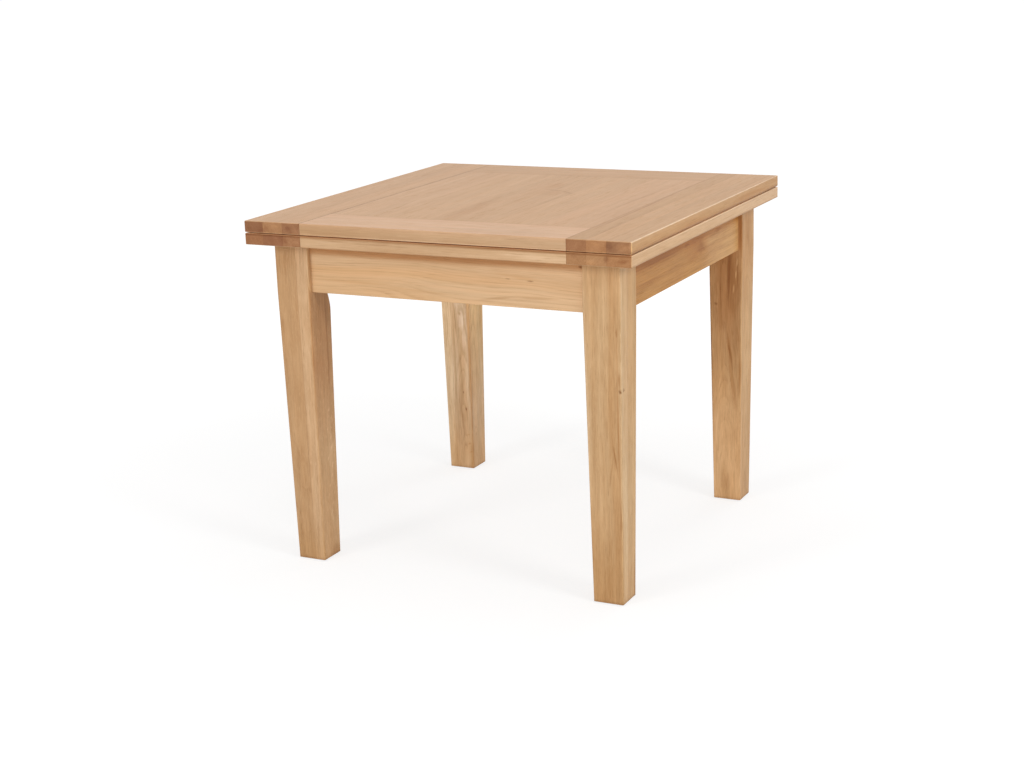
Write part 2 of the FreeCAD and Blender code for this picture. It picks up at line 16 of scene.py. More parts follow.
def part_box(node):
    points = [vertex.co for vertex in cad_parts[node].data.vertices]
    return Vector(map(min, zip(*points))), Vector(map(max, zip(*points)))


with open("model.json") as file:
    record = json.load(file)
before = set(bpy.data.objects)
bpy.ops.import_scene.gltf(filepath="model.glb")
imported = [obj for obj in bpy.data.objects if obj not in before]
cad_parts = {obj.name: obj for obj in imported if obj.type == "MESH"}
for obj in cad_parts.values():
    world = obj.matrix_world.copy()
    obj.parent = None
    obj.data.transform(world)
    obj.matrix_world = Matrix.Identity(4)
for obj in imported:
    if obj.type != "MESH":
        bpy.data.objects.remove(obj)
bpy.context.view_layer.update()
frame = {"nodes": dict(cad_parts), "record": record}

# ------------------------------ camera
CAMERA_PLACE = Vector((1.7714, -3.6049, 1.4131))
CAMERA_YAW = math.radians(-26.741)    # turned from +Y towards +X
CAMERA_PITCH = math.radians(-14.903)
CAMERA_ROLL = math.radians(-1.882)
CAMERA_LENS_MM = 63.007
SENSOR_MM = 36.0


def place_camera():
    """A camera at the height of a standing person, to the right of the table's front."""
    ahead = Vector((
        math.sin(CAMERA_YAW) * math.cos(CAMERA_PITCH),
        math.cos(CAMERA_YAW) * math.cos(CAMERA_PITCH),
        math.sin(CAMERA_PITCH)))
    level_right = Vector((math.cos(CAMERA_YAW), -math.sin(CAMERA_YAW), 0.0))
    level_up = level_right.cross(ahead)
    right = math.cos(CAMERA_ROLL) * level_right + math.sin(CAMERA_ROLL) * level_up
    up = right.cross(ahead)
    data = bpy.data.cameras.new("camera")
    data.lens = CAMERA_LENS_MM
    data.sensor_width = SENSOR_MM
    camera = bpy.data.objects.new("camera", data)
    bpy.context.scene.collection.objects.link(camera)
    turn = Matrix((right, up, -ahead)).transposed().to_4x4()
    camera.matrix_world = Matrix.Translation(CAMERA_PLACE) @ turn
    bpy.context.scene.camera = camera


place_camera()


# ------------------------------ node helpers
def feed(tree, socket, value):
    """Links an output into a socket, or sets the socket to a plain value."""
    if isinstance(value, bpy.types.NodeSocket):
        tree.links.new(value, socket)
    else:
        socket.default_value = value


def math_node(tree, operation, first, second=0.0, clamp=False):
    node = tree.nodes.new("ShaderNodeMath")
    node.operation = operation
    node.use_clamp = clamp
    feed(tree, node.inputs[0], first)
    feed(tree, node.inputs[1], second)
    return node.outputs[0]


def vector_node(tree, operation, first, second=(0.0, 0.0, 0.0)):
    node = tree.nodes.new("ShaderNodeVectorMath")
    node.operation = operation
    feed(tree, node.inputs[0], first)
    feed(tree, node.inputs[1], second)
    return node.outputs["Value" if operation in ("LENGTH", "DOT_PRODUCT") else "Vector"]


def scaled(tree, vector, factor):
    node = tree.nodes.new("ShaderNodeVectorMath")
    node.operation = "SCALE"
    feed(tree, node.inputs[0], vector)
    feed(tree, node.inputs["Scale"], factor)
    return node.outputs[0]


def noise_node(tree, vector, scale=1.0, detail=2.0, roughness=0.5, distortion=0.0, colour=False):
    node = tree.nodes.new("ShaderNodeTexNoise")
    node.inputs["Scale"].default_value = scale
    node.inputs["Detail"].default_value = detail
    node.inputs["Roughness"].default_value = roughness
    node.inputs["Distortion"].default_value = distortion
    feed(tree, node.inputs["Vector"], vector)
    return node.outputs["Color" if colour else "Fac"]


def range_node(tree, value, from_low, from_high, to_low=0.0, to_high=1.0, smooth=False):
    """Carries a value from one range to another and holds it at both ends."""
    node = tree.nodes.new("ShaderNodeMapRange")
    node.interpolation_type = "SMOOTHSTEP" if smooth else "LINEAR"
    feed(tree, node.inputs["Value"], value)
    limits = (("From Min", from_low), ("From Max", from_high), ("To Min", to_low), ("To Max", to_high))
    for name, number in limits:
        feed(tree, node.inputs[name], number)
    return node.outputs["Result"]


def mix_colour(tree, share, first, second, blend="MIX"):
    node = tree.nodes.new("ShaderNodeMix")
    node.data_type = "RGBA"
    node.blend_type = blend
    feed(tree, node.inputs["Factor"], share)
    feed(tree, node.inputs["A"], first)
    feed(tree, node.inputs["B"], second)
    return node.outputs["Result"]


def tint(tree, share, colour, tone):
    """Multiplies a colour by a tone, as far as share says."""
    return mix_colour(tree, share, colour, tone, blend="MULTIPLY")


def separate(tree, vector):
    node = tree.nodes.new("ShaderNodeSeparateXYZ")
    feed(tree, node.inputs[0], vector)
    return node.outputs[0], node.outputs[1], node.outputs[2]


def combine(tree, x, y, z):
    node = tree.nodes.new("ShaderNodeCombineXYZ")
    for socket, value in zip(node.inputs, (x, y, z)):
        feed(tree, socket, value)
    return node.outputs[0]


def linear(red, green, blue):
    """A colour written as it looks on a screen, 0 to 255, as the renderer wants it."""
    def one(part):
        part = part / 255.0
        return part / 12.92 if part <= 0.04045 else ((part + 0.055) / 1.055) ** 2.4
    return (one(red), one(green), one(blue), 1.0)


def opaque(tone):
    return tuple(tone) + (1.0,)


def times(colour, tone, power=1.0):
    """A plain colour multiplied by a tone, and kept a little under full white."""
    return opaque(min(part * factor ** power, 0.95) for part, factor in zip(colour, tone))


def new_material(name):
    """A material with its shader, and the shader's tree."""
    material = bpy.data.materials.new(name)
    material.use_nodes = True
    tree = material.node_tree
    shader = tree.nodes["Principled BSDF"]
    return material, tree, shader


def finish_with_bump(tree, shader, height, strength, distance):
    bump = tree.nodes.new("ShaderNodeBump")
    bump.inputs["Strength"].default_value = strength
    bump.inputs["Distance"].default_value = distance
    feed(tree, bump.inputs["Height"], height)
    feed(tree, shader.inputs["Normal"], bump.outputs[0])


def dress(node_name, material):
    """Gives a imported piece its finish."""
    mesh = frame["nodes"][node_name].data
    mesh.materials.clear()
    mesh.materials.append(material)


# ------------------------------ oak
RING_WIDTH = 0.0032          # average year ring
YEAR_SPREAD = 3.6            # rings by which wide and narrow years differ over a plank
MEAN_EARLY = 0.38            # average share of early wood, at which a year ring leaves the tone alone
FIBRE_SHARE = 0.28
# Waves per metre of each part of the figure: twice across the grain, then along it.
BOW_WAVES = (3.5, 3.5, 3.5)
STREAK_WAVES = (150.0, 150.0, 4.5)
FIBRE_WAVES = (700.0, 700.0, 22.0)
DASH_WAVES = (260.0, 260.0, 26.0)
CLOUD_WAVES = (34.0, 34.0, 10.0)
WARMTH_WAVES = (48.0, 48.0, 4.0)
PORE_WAVES = (1300.0, 1300.0, 38.0)
# Waves per metre out from the heart and along the trunk. Rays go round the heart first.
YEAR_WAVES = (95.0, 0.6)
BAND_WAVES = (75.0, 1.6)
RAY_WAVES = (190.0, 70.0, 70.0)


def oak_figure_group():
    """Solid oak, from a grain vector whose Z runs up the trunk and whose heart is at X = Y = 0.

    Outputs: Tone (0 dark to 1 pale), Warm (0 grey to 1 ruddy), Pores (open vessels of the early
    wood), Rays (silver flecks) and Height for the bump.
    """
    tree = bpy.data.node_groups.new("oak figure", "ShaderNodeTree")
    face = tree.interface
    face.new_socket("Grain", in_out="INPUT", socket_type="NodeSocketVector")
    for name in ("Wander", "Taper", "Rings", "Bands", "Streaks", "Dashes", "Clouds"):
        face.new_socket(name, in_out="INPUT", socket_type="NodeSocketFloat")
    for name in ("Tone", "Warm", "Pores", "Rays", "Height"):
        face.new_socket(name, in_out="OUTPUT", socket_type="NodeSocketFloat")
    inside = tree.nodes.new("NodeGroupInput")
    grain = inside.outputs["Grain"]

    # The heart wanders along the trunk, which bows the rings and closes them into arches.
    slow = noise_node(tree, vector_node(tree, "MULTIPLY", grain, BOW_WAVES), detail=2.5, colour=True)
    slow = vector_node(tree, "SUBTRACT", slow, (0.5, 0.5, 0.5))
    bent = vector_node(tree, "ADD", grain, scaled(tree, slow, inside.outputs["Wander"]))
    x, y, z = separate(tree, bent)
    radius = vector_node(tree, "LENGTH", combine(tree, x, y, 0.0))
    radius = math_node(tree, "ADD", radius, math_node(tree, "MULTIPLY", z, inside.outputs["Taper"]))

    def in_shells(waves, start):
        """A place that is the same all round the heart, so that noise on it lies in shells."""
        outwards = math_node(tree, "MULTIPLY", radius, waves[0])
        return combine(tree, outwards, start, math_node(tree, "MULTIPLY", z, waves[1]))

    # Year rings: wide and narrow years, each with a porous early edge that fades outwards.
    years = noise_node(tree, in_shells(YEAR_WAVES, 0.0), detail=2.0)
    turns = math_node(tree, "DIVIDE", radius, RING_WIDTH)
    turns = math_node(tree, "ADD", turns, math_node(tree, "MULTIPLY", years, YEAR_SPREAD))
    in_ring = math_node(tree, "FRACT", turns)
    early = range_node(tree, in_ring, 0.0, 0.55, 1.0, 0.0, smooth=True)
    edge_rise = range_node(tree, in_ring, 0.92, 1.0, 0.0, 1.0, smooth=True)
    early = math_node(tree, "MAXIMUM", early, edge_rise)

    # Bands, streaks and fibres bow with the rings. Dashes and clouds keep straight.
    bands = noise_node(tree, in_shells(BAND_WAVES, 7.0), detail=3.0, roughness=0.55)
    streaks = noise_node(tree, vector_node(tree, "MULTIPLY", bent, STREAK_WAVES), detail=3.0,
                         roughness=0.6, distortion=0.15)
    fibres = noise_node(tree, vector_node(tree, "MULTIPLY", bent, FIBRE_WAVES), detail=2.0, roughness=0.6)
    dashes = noise_node(tree, vector_node(tree, "MULTIPLY", grain, DASH_WAVES), detail=3.0,
                        roughness=0.6, distortion=0.4)
    clouds = noise_node(tree, vector_node(tree, "MULTIPLY", grain, CLOUD_WAVES), detail=3.0)
    warm = noise_node(tree, vector_node(tree, "MULTIPLY", bent, WARMTH_WAVES), detail=3.0)
    total = None
    for name, noise in (("Bands", bands), ("Streaks", streaks), ("Clouds", clouds), ("Dashes", dashes)):
        swing = range_node(tree, noise, 0.34, 0.66, -1.0, 1.0)
        part = math_node(tree, "MULTIPLY", swing, inside.outputs[name])
        total = part if total is None else math_node(tree, "ADD", total, part)
    fibre_swing = range_node(tree, fibres, 0.32, 0.68, -1.0, 1.0)
    total = math_node(tree, "ADD", total, math_node(tree, "MULTIPLY", fibre_swing, FIBRE_SHARE))
    ring_swing = math_node(tree, "SUBTRACT", MEAN_EARLY, early)
    total = math_node(tree, "ADD", total, math_node(tree, "MULTIPLY", ring_swing, inside.outputs["Rings"]))
    tone = range_node(tree, total, -1.6, 1.6, 0.0, 1.0)

    pore_noise = noise_node(tree, vector_node(tree, "MULTIPLY", grain, PORE_WAVES), detail=1.0)
    pores = range_node(tree, pore_noise, 0.55, 0.66, smooth=True)
    pore_share = math_node(tree, "ADD", math_node(tree, "MULTIPLY", early, 0.85), 0.15)
    pores = math_node(tree, "MULTIPLY", pores, pore_share)

    turned = (math_node(tree, "ARCTAN2", y, x), radius, z)
    around = [math_node(tree, "MULTIPLY", part, waves) for part, waves in zip(turned, RAY_WAVES)]
    rays = noise_node(tree, combine(tree, *around), detail=1.0, distortion=0.8)
    rays = range_node(tree, rays, 0.56, 0.66, smooth=True)

    height = math_node(tree, "SUBTRACT", math_node(tree, "MULTIPLY", early, -0.25), pores)
    height = math_node(tree, "ADD", height, math_node(tree, "MULTIPLY", fibres, 0.35))
    outside = tree.nodes.new("NodeGroupOutput")
    for name, value in (("Tone", tone), ("Warm", warm), ("Pores", pores), ("Rays", rays), ("Height", height)):
        feed(tree, outside.inputs[name], value)
    return tree


OAK_FIGURE = oak_figure_group()


def lay_grain(axis, heart, seed, stretch):
    """Scale, turn and shift that bring grain along an axis onto Z. heart is the log's middle."""
    first, second = heart
    scale = tuple(1.0 / stretch if name == axis else 1.0 for name in "XYZ")
    if axis == "X":
        return scale, (0.0, math.radians(-90), 0.0), (second, -first, seed)
    if axis == "Y":
        return scale, (math.radians(90), 0.0, 0.0), (-first, second, seed)
    return scale, (0.0, 0.0, 0.0), (-first, -second, seed)


def by_strip(tree, steps, values):
    """The value of the strip that a point lies in, where steps turn on one after another."""
    result = opaque(values[0])
    for step, value in zip(steps, values[1:]):
        result = mix_colour(tree, step, result, opaque(value))
    return result


def near_plane(tree, coordinate, place, width):
    """1 on the plane, fading to 0 at width from it."""
    away = math_node(tree, "ABSOLUTE", math_node(tree, "SUBTRACT", coordinate, place))
    return range_node(tree, away, 0.0, width, 1.0, 0.0, smooth=True)


def near_mark(tree, place, middle, reach, turn, core, ragged):
    """1 as far out as core, a share of the mark's reach, then fading to 0 at its reach."""
    frame_of_mark = tree.nodes.new("ShaderNodeMapping")
    frame_of_mark.vector_type = "TEXTURE"
    frame_of_mark.inputs["Location"].default_value = middle
    frame_of_mark.inputs["Rotation"].default_value = tuple(math.radians(t) for t in turn)
    frame_of_mark.inputs["Scale"].default_value = reach
    feed(tree, frame_of_mark.inputs["Vector"], place)
    away = vector_node(tree, "LENGTH", frame_of_mark.outputs[0])
    if ragged:
        rough = noise_node(tree, frame_of_mark.outputs[0], scale=1.7, detail=3.0)
        away = math_node(tree, "ADD", away, math_node(tree, "SUBTRACT", rough, 0.5))
    return range_node(tree, away, core, 1.0, 1.0, 0.0, smooth=True)


# What each does to the wood's own red, green and blue, which are multiplied by it.
DARK_WOOD = (0.74, 0.65, 0.54)
PALE_WOOD = (1.27, 1.35, 1.46)
COOL_WOOD = (0.97, 1.01, 1.04)
WARM_WOOD = (1.03, 0.99, 0.92)
SILVER_RAY = (1.22, 1.32, 1.45)
OPEN_PORE = (0.58, 0.45, 0.32)
CUT_DARK_WOOD = (0.66, 0.54, 0.44)
CUT_PALE_WOOD = (1.27, 1.36, 1.50)
CUT_OPEN_PORE = (0.55, 0.42, 0.32)
SEAM = (0.42, 0.29, 0.20)    # glue lines and joints
KNOT = (0.42, 0.28, 0.18)
BROWN = (0.72, 0.60, 0.48)   # mineral streaks and dark heartwood
RUDDY = (0.88, 0.76, 0.62)
PALE = (1.12, 1.18, 1.26)    # sapwood
PAINTED_ARRIS_HIGHLIGHT = (1.62, 2.12, 2.95)   # a painted highlight on an arris
# painted light above the gap between the leaves, painted shade below it, and warm painted light inside it
GAP_PAINTED_LIGHT_ABOVE = (1.30, 1.36, 1.42)
GAP_PAINTED_SHADE_BELOW = (0.60, 0.46, 0.34)
GAP_PAINTED_BOUNCE_LIGHT = (1.75, 1.32, 1.02)

STRIP_JUMP = (0.037, -0.029, 0.61)   # how far apart in the log two glued strips were
STRIP_LINE = (0.0008, 0.35)          # width and share of the glue line between them
ANY = 9.0                            # a mark's reach along a side that it runs right across
LEVEL = (0, 0, 0)                    # a mark that isn't turned
SOFT_CORE = 0.15                     # a mark that fades from near its middle


def oak(name, axis, heart, tone, seed=0.0, stretch=1.0, end=(176, 130, 92), contrast=1.0, wander=0.03,
        taper=0.0, rings=0.25, bands=0.45, streaks=0.3, dashes=0.35, clouds=0.35, rays=0.15, warmth=0.5,
        strip_axis=0, strips=(), strip_tones=((1, 1, 1),), end_tones=((1, 1, 1),), joints=(), marks=()):
    """Satin oak for one piece, in solid figure.

    axis is its grain and heart the middle of its log across that. tone and end are the colours of
    its sides and cut ends. seed moves the figure along the grain, stretch draws it out, and
    contrast to warmth say how strong each part of it is. strips are the places of glue lines along
    strip_axis, with what each strip does to both colours. joints are (axis, place, width, share)
    planes where it meets its neighbours. marks are (colour, share, middle, reach, turn, core) spots
    such as knots and mineral streaks, and also painted highlights, painted light and painted shade
    on edges and faces. turn and core may be left out. Where share is under 1 the outline is
    ragged.
    """
    material, tree, shader = new_material(name)
    coordinates = tree.nodes.new("ShaderNodeTexCoord")
    place = coordinates.outputs["Object"]
    along = separate(tree, place)
    scale, turn, shift = lay_grain(axis, heart, seed, stretch)
    mapping = tree.nodes.new("ShaderNodeMapping")
    mapping.inputs["Scale"].default_value = scale
    mapping.inputs["Rotation"].default_value = turn
    mapping.inputs["Location"].default_value = shift
    feed(tree, mapping.inputs["Vector"], place)
    grain = mapping.outputs[0]
    steps = [math_node(tree, "GREATER_THAN", along[strip_axis], edge) for edge in strips]
    for step in steps:
        grain = vector_node(tree, "ADD", grain, scaled(tree, STRIP_JUMP, step))

    figure = tree.nodes.new("ShaderNodeGroup")
    figure.node_tree = OAK_FIGURE
    feed(tree, figure.inputs["Grain"], grain)
    for socket, value in (("Wander", wander), ("Taper", taper), ("Rings", rings), ("Bands", bands),
                          ("Streaks", streaks), ("Dashes", dashes), ("Clouds", clouds)):
        figure.inputs[socket].default_value = value
    out = figure.outputs

    # The sides: figure, a cooler or warmer cast, pores and rays.
    base = linear(*tone)
    colour = mix_colour(tree, out["Tone"], times(base, DARK_WOOD, contrast), times(base, PALE_WOOD, contrast))
    ruddy = range_node(tree, out["Warm"], 0.35, 0.65, -1.0, 1.0)
    ruddy = math_node(tree, "ADD", 0.5, math_node(tree, "MULTIPLY", ruddy, 0.5 * warmth), clamp=True)
    cast = mix_colour(tree, ruddy, opaque(COOL_WOOD), opaque(WARM_WOOD))
    colour = tint(tree, 1.0, colour, cast)
    colour = tint(tree, math_node(tree, "MULTIPLY", out["Pores"], 0.45), colour, opaque(OPEN_PORE))
    ray_share = math_node(tree, "MULTIPLY", out["Rays"], rays)
    colour = mix_colour(tree, ray_share, colour, times(base, SILVER_RAY))
    if strips:
        colour = tint(tree, 1.0, colour, by_strip(tree, steps, strip_tones))

    # The cut ends.
    normal = separate(tree, coordinates.outputs["Normal"])["XYZ".index(axis)]
    at_end = range_node(tree, math_node(tree, "ABSOLUTE", normal), 0.75, 0.95, smooth=True)
    cut = linear(*end)
    end_colour = mix_colour(tree, out["Tone"], times(cut, CUT_DARK_WOOD), times(cut, CUT_PALE_WOOD))
    end_colour = tint(tree, math_node(tree, "MULTIPLY", out["Pores"], 0.4), end_colour, opaque(CUT_OPEN_PORE))
    if strips:
        end_colour = tint(tree, 1.0, end_colour, by_strip(tree, steps, end_tones))
    colour = mix_colour(tree, at_end, colour, end_colour)

    for mark_tone, share, middle, reach, *more in marks:
        turn, core = more + [LEVEL, SOFT_CORE][len(more):]
        mask = near_mark(tree, place, middle, reach, turn, core, ragged=share < 1.0)
        colour = tint(tree, math_node(tree, "MULTIPLY", mask, share), colour, opaque(mark_tone))
    lines = [(strip_axis, edge) + STRIP_LINE for edge in strips] + list(joints)
    for side, edge, width, share in lines:
        mask = math_node(tree, "MULTIPLY", near_plane(tree, along[side], edge, width), share)
        colour = tint(tree, mask, colour, opaque(SEAM))

    feed(tree, shader.inputs["Base Color"], colour)
    feed(tree, shader.inputs["Roughness"], range_node(tree, out["Pores"], 0.0, 1.0, 0.42, 0.60))
    shader.inputs["Specular IOR Level"].default_value = 0.14
    finish_with_bump(tree, shader, out["Height"], 0.3, 0.0003)
    return material


def dress_oak(node_name, *figure, **more):
    dress(node_name, oak(node_name.replace("_", " ") + " oak", *figure, **more))


# ------------------------------ the two leaves
def sides_of(node_name, width, share, *sides):
    """Joint lines on a piece's named sides, such as x- or y+."""
    low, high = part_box(node_name)
    lines = []
    for side in sides:
        axis = "xyz".index(side[0])
        lines.append((axis, (high if side[1] == "+" else low)[axis], width, share))
    return tuple(lines)


LEAF_EDGE = 0.4505           # just outside a leaf's edges


def gap_painted_strips(level, tone, reach, *sides, depth=0.0025, inset=0.0):
    """Strips of painted light and shade along the gap between the leaves, on its arrises or on the wood that
    shows inside it.
    """
    side = LEAF_EDGE - inset
    places = {"y-": (0.0, -side), "y+": (0.0, side), "x-": (-side, 0.0), "x+": (side, 0.0)}
    return tuple((tone, 1.0, (x, y, level), (depth if x else ANY, depth if y else ANY, reach))
                 for x, y in (places[name] for name in sides or places))


# Painted light and shade along the gap between the leaves: the upper leaf's lower arrises get pale
# painted light and the lower leaf's upper ones brown painted shade. Inside the gap the lower leaf's
# top gets warm painted light, near the front and the back edge.
UPPER_LEAF_BOTTOM = 0.755
LOWER_LEAF_TOP = 0.753
UPPER_ARRIS_PAINTED_LIGHT = gap_painted_strips(UPPER_LEAF_BOTTOM, GAP_PAINTED_LIGHT_ABOVE, 0.0035)
UPPER_END_ARRIS_PAINTED_LIGHT = gap_painted_strips(UPPER_LEAF_BOTTOM, GAP_PAINTED_LIGHT_ABOVE, 0.0035, "y-", "y+")
LOWER_ARRIS_PAINTED_SHADE = gap_painted_strips(LOWER_LEAF_TOP, GAP_PAINTED_SHADE_BELOW, 0.0065)
LOWER_END_ARRIS_PAINTED_SHADE = gap_painted_strips(LOWER_LEAF_TOP, GAP_PAINTED_SHADE_BELOW, 0.0065, "y-", "y+")
GAP_FLOOR_PAINTED_LIGHT = gap_painted_strips(0.7535, GAP_PAINTED_BOUNCE_LIGHT, 0.0012, "y-", "y+", depth=0.0065, inset=0.0045)

UPPER_STILE_LEFT_TONE = (201, 160, 122)
UPPER_STILE_RIGHT_TONE = (194, 152, 111)
UPPER_RAIL_FRONT_TONE = (210, 169, 134)
UPPER_RAIL_BACK_TONE = (194, 153, 115)
UPPER_BOARD_TONES = ((200, 159, 121), (199, 158, 119), (194, 153, 114), (197, 156, 117), (199, 157, 119))
LOWER_LEAF_TONE = (205, 167, 129)
LOWER_BOARD_TONES = ((201, 161, 123),) * 5
PLAIN_TOP = dict(stretch=2.0, contrast=0.75, wander=0.02, rings=0.16, bands=0.32, streaks=0.13, dashes=0.25,
                 clouds=0.2, warmth=0.35)
LEFT_STRIPS = dict(strips=(-0.403, -0.354), strip_tones=((1, 1, 1), (0.96, 0.95, 0.94), (1.0, 0.99, 0.98)))
RIGHT_STRIPS = dict(strips=(0.353, 0.397), strip_tones=((0.95, 0.94, 0.92), (1.02, 1.02, 1.02), (1, 1, 1)))
JOINT_WIDTH = 0.0012
PANEL_LEFT = -0.31           # where the first board starts
BOARD_WIDTH = 0.124

# On the cut end: uneven strips, and a pale line beside the front rail.
UPPER_STILE_LEFT_MARKS = (
    ((0.84, 0.76, 0.74), 0.9, (-0.402, -0.45, 0.762), (0.02, 0.004, 0.01), (0, -20, 0)),
    ((0.80, 0.72, 0.74), 0.9, (-0.339, -0.45, 0.768), (0.01, 0.004, 0.007)),
    ((1.12, 1.14, 1.10), 0.9, (-0.372, -0.45, 0.772), (0.016, 0.004, 0.007)),
    ((1.10, 1.12, 1.14), 0.9, (-0.322, -0.45, 0.763), (0.01, 0.004, 0.008)),
    ((1.45, 1.65, 1.85), 1.0, (-0.3105, -0.451, 0.7665), (0.0035, 0.004, 0.016), LEVEL, 0.6))

# The right edge has painted shade at the gap and is ruddy in places, with a painted cream highlight on its
# arris.
UPPER_STILE_RIGHT_MARKS = (
    # painted shade of the gap along the right edge
    ((0.68, 0.60, 0.54), 1.0, (0.4505, 0.0, 0.755), (0.0025, ANY, 0.0075)),
    ((1.00, 0.92, 0.80), 1.0, (0.4515, 0.0, 0.7655), (0.006, ANY, 0.022)),
    # uneven strips on the cut end
    ((0.78, 0.72, 0.72), 0.9, (0.403, -0.45, 0.768), (0.013, 0.004, 0.014)),
    ((1.12, 1.14, 1.14), 0.9, (0.424, -0.45, 0.764), (0.012, 0.004, 0.006), (0, 25, 0)),
    ((1.30, 1.42, 1.50), 1.0, (0.4495, -0.45, 0.768), (0.007, 0.006, 0.02)),
    ((1.30, 1.34, 1.30), 0.9, (0.437, -0.45, 0.767), (0.022, 0.004, 0.016)),
    ((1.10, 1.12, 1.08), 0.9, (0.372, -0.45, 0.773), (0.016, 0.004, 0.005), (0, 12, 0)),
    # along the right edge, and a painted highlight on its arris
    (RUDDY, 0.8, (0.451, 0.26, 0.766), (0.01, 0.16, 0.008)),
    (RUDDY, 0.7, (0.451, -0.10, 0.762), (0.01, 0.12, 0.004)),
    ((1.04, 1.09, 1.10), 1.0, (0.4515, 0.0, 0.7655), (0.006, ANY, 0.022)),
    (PAINTED_ARRIS_HIGHLIGHT, 1.0, (0.4508, -0.35, 0.7808), (0.0048, 1.6, 0.0038)),
    # a streak on the face
    (BROWN, 0.6, (0.318, -0.10, 0.781), (0.004, 0.36, 0.01), (0, 0, 1)))

# The front edge is a little darker than the face, most of all towards its left end.
UPPER_RAIL_FRONT_MARKS = (
    ((0.86, 0.88, 0.84), 1.0, (0.0, -0.4515, 0.7655), (ANY, 0.006, 0.022)),
    ((0.88, 0.83, 0.76), 1.0, (-0.26, -0.4515, 0.7655), (0.34, 0.006, 0.03)),
    ((0.93, 0.93, 0.93), 0.8, (0.16, -0.40, 0.781), (0.17, 0.09, 0.02)))

# The panel's middle boards share a small flame, and the first one has a patch of ripple.
FLAME = (
    (BROWN, 0.50, (0.024, 0.108, 0.781), (0.036, 0.009, 0.01), (0, 0, -12)),
    (BROWN, 0.45, (0.068, 0.086, 0.781), (0.040, 0.010, 0.01), (0, 0, -42)),
    (RUDDY, 0.35, (0.030, 0.065, 0.781), (0.050, 0.050, 0.02)))


def ripple():
    """Eight ruddy strokes side by side, each aslant and a little out of line."""
    strokes = []
    for k in range(8):
        middle = (-0.272 + 0.007 * k, -0.100 + 0.028 * k + 0.008 * math.sin(2.6 * k), 0.781)
        reach = (0.013 + 0.005 * math.sin(4.1 * k), 0.0045, 0.01)
        strokes.append((RUDDY, 0.70, middle, reach, (0, 0, 50)))
    return tuple(strokes)


UPPER_BOARD_MARKS = {
    1: ripple(),
    3: FLAME + ((RUDDY, 0.45, (-0.035, -0.20, 0.781), (0.030, 0.22, 0.02), (0, 0, 4)),
                (RUDDY, 0.45, (0.000, 0.165, 0.781), (0.030, 0.060, 0.02))),
    4: FLAME + ((BROWN, 0.35, (0.080, -0.05, 0.781), (0.006, 0.20, 0.02), (0, 0, 2)),),
    5: ((BROWN, 0.35, (0.262, 0.02, 0.781), (0.007, 0.26, 0.02), (0, 0, -1)),)}


def dress_boards(leaf, heart_shifts, heart_height, tones, first_seed, seam_share, marks):
    """Five boards with grain front to back, faint seams between them and plain lines at the rails."""
    for i in range(1, 6):
        name = "%s_board_%d" % (leaf, i)
        middle = PANEL_LEFT + BOARD_WIDTH * (i - 0.5)
        seams = sides_of(name, JOINT_WIDTH, seam_share, "x-", "x+")
        ends = sides_of(name, JOINT_WIDTH, 0.45, "y-", "y+")
        dress_oak(name, "Y", (middle + heart_shifts[i - 1], heart_height), tones[i - 1],
                  seed=0.7 * i + first_seed, joints=seams + ends, marks=marks.get(i, ()), **PLAIN_TOP)


def dress_upper_leaf():
    """Two stiles of three strips, two rails between them, and the panel's boards."""
    dress_oak("upper_stile_left", "Y", (-0.62, 0.60), UPPER_STILE_LEFT_TONE, seed=0.9, end=(162, 117, 81),
              end_tones=((0.80, 0.72, 0.70), (1.16, 1.20, 1.16), (0.92, 0.88, 0.86)),
              joints=sides_of("upper_stile_left", 0.0045, 0.80, "x+"),
              marks=UPPER_ARRIS_PAINTED_LIGHT + UPPER_STILE_LEFT_MARKS, **LEFT_STRIPS, **PLAIN_TOP)
    dress_oak("upper_stile_right", "Y", (0.66, 0.56), UPPER_STILE_RIGHT_TONE, seed=2.3, end=(170, 124, 86),
              end_tones=((0.88, 0.82, 0.78), (1.06, 1.02, 0.94), (0.80, 0.76, 0.74)),
              joints=sides_of("upper_stile_right", 0.0030, 0.40, "x-"),
              marks=UPPER_END_ARRIS_PAINTED_LIGHT + UPPER_STILE_RIGHT_MARKS, **RIGHT_STRIPS, **PLAIN_TOP)
    dress_oak("upper_rail_front", "X", (-0.30, 0.52), UPPER_RAIL_FRONT_TONE, seed=1.1,
              joints=sides_of("upper_rail_front", JOINT_WIDTH, 0.45, "y+", "x-", "x+"),
              marks=UPPER_ARRIS_PAINTED_LIGHT + UPPER_RAIL_FRONT_MARKS, **PLAIN_TOP)
    dress_oak("upper_rail_back", "X", (0.26, 0.55), UPPER_RAIL_BACK_TONE, seed=5.3,
              joints=sides_of("upper_rail_back", 0.0015, 0.55, "y-", "x-", "x+"),
              marks=UPPER_ARRIS_PAINTED_LIGHT, **PLAIN_TOP)
    dress_boards("upper", (0.05, -0.03, 0.01, 0.06, -0.04), 0.70, UPPER_BOARD_TONES, 0.0, 0.12,
                 UPPER_BOARD_MARKS)


# On the cut end: one dark and one pale patch.
LOWER_STILE_LEFT_MARKS = (
    ((0.82, 0.74, 0.70), 0.9, (-0.35, -0.45, 0.743), (0.016, 0.004, 0.012), (0, 30, 0)),
    ((1.14, 1.18, 1.22), 0.9, (-0.322, -0.45, 0.738), (0.014, 0.004, 0.009)))
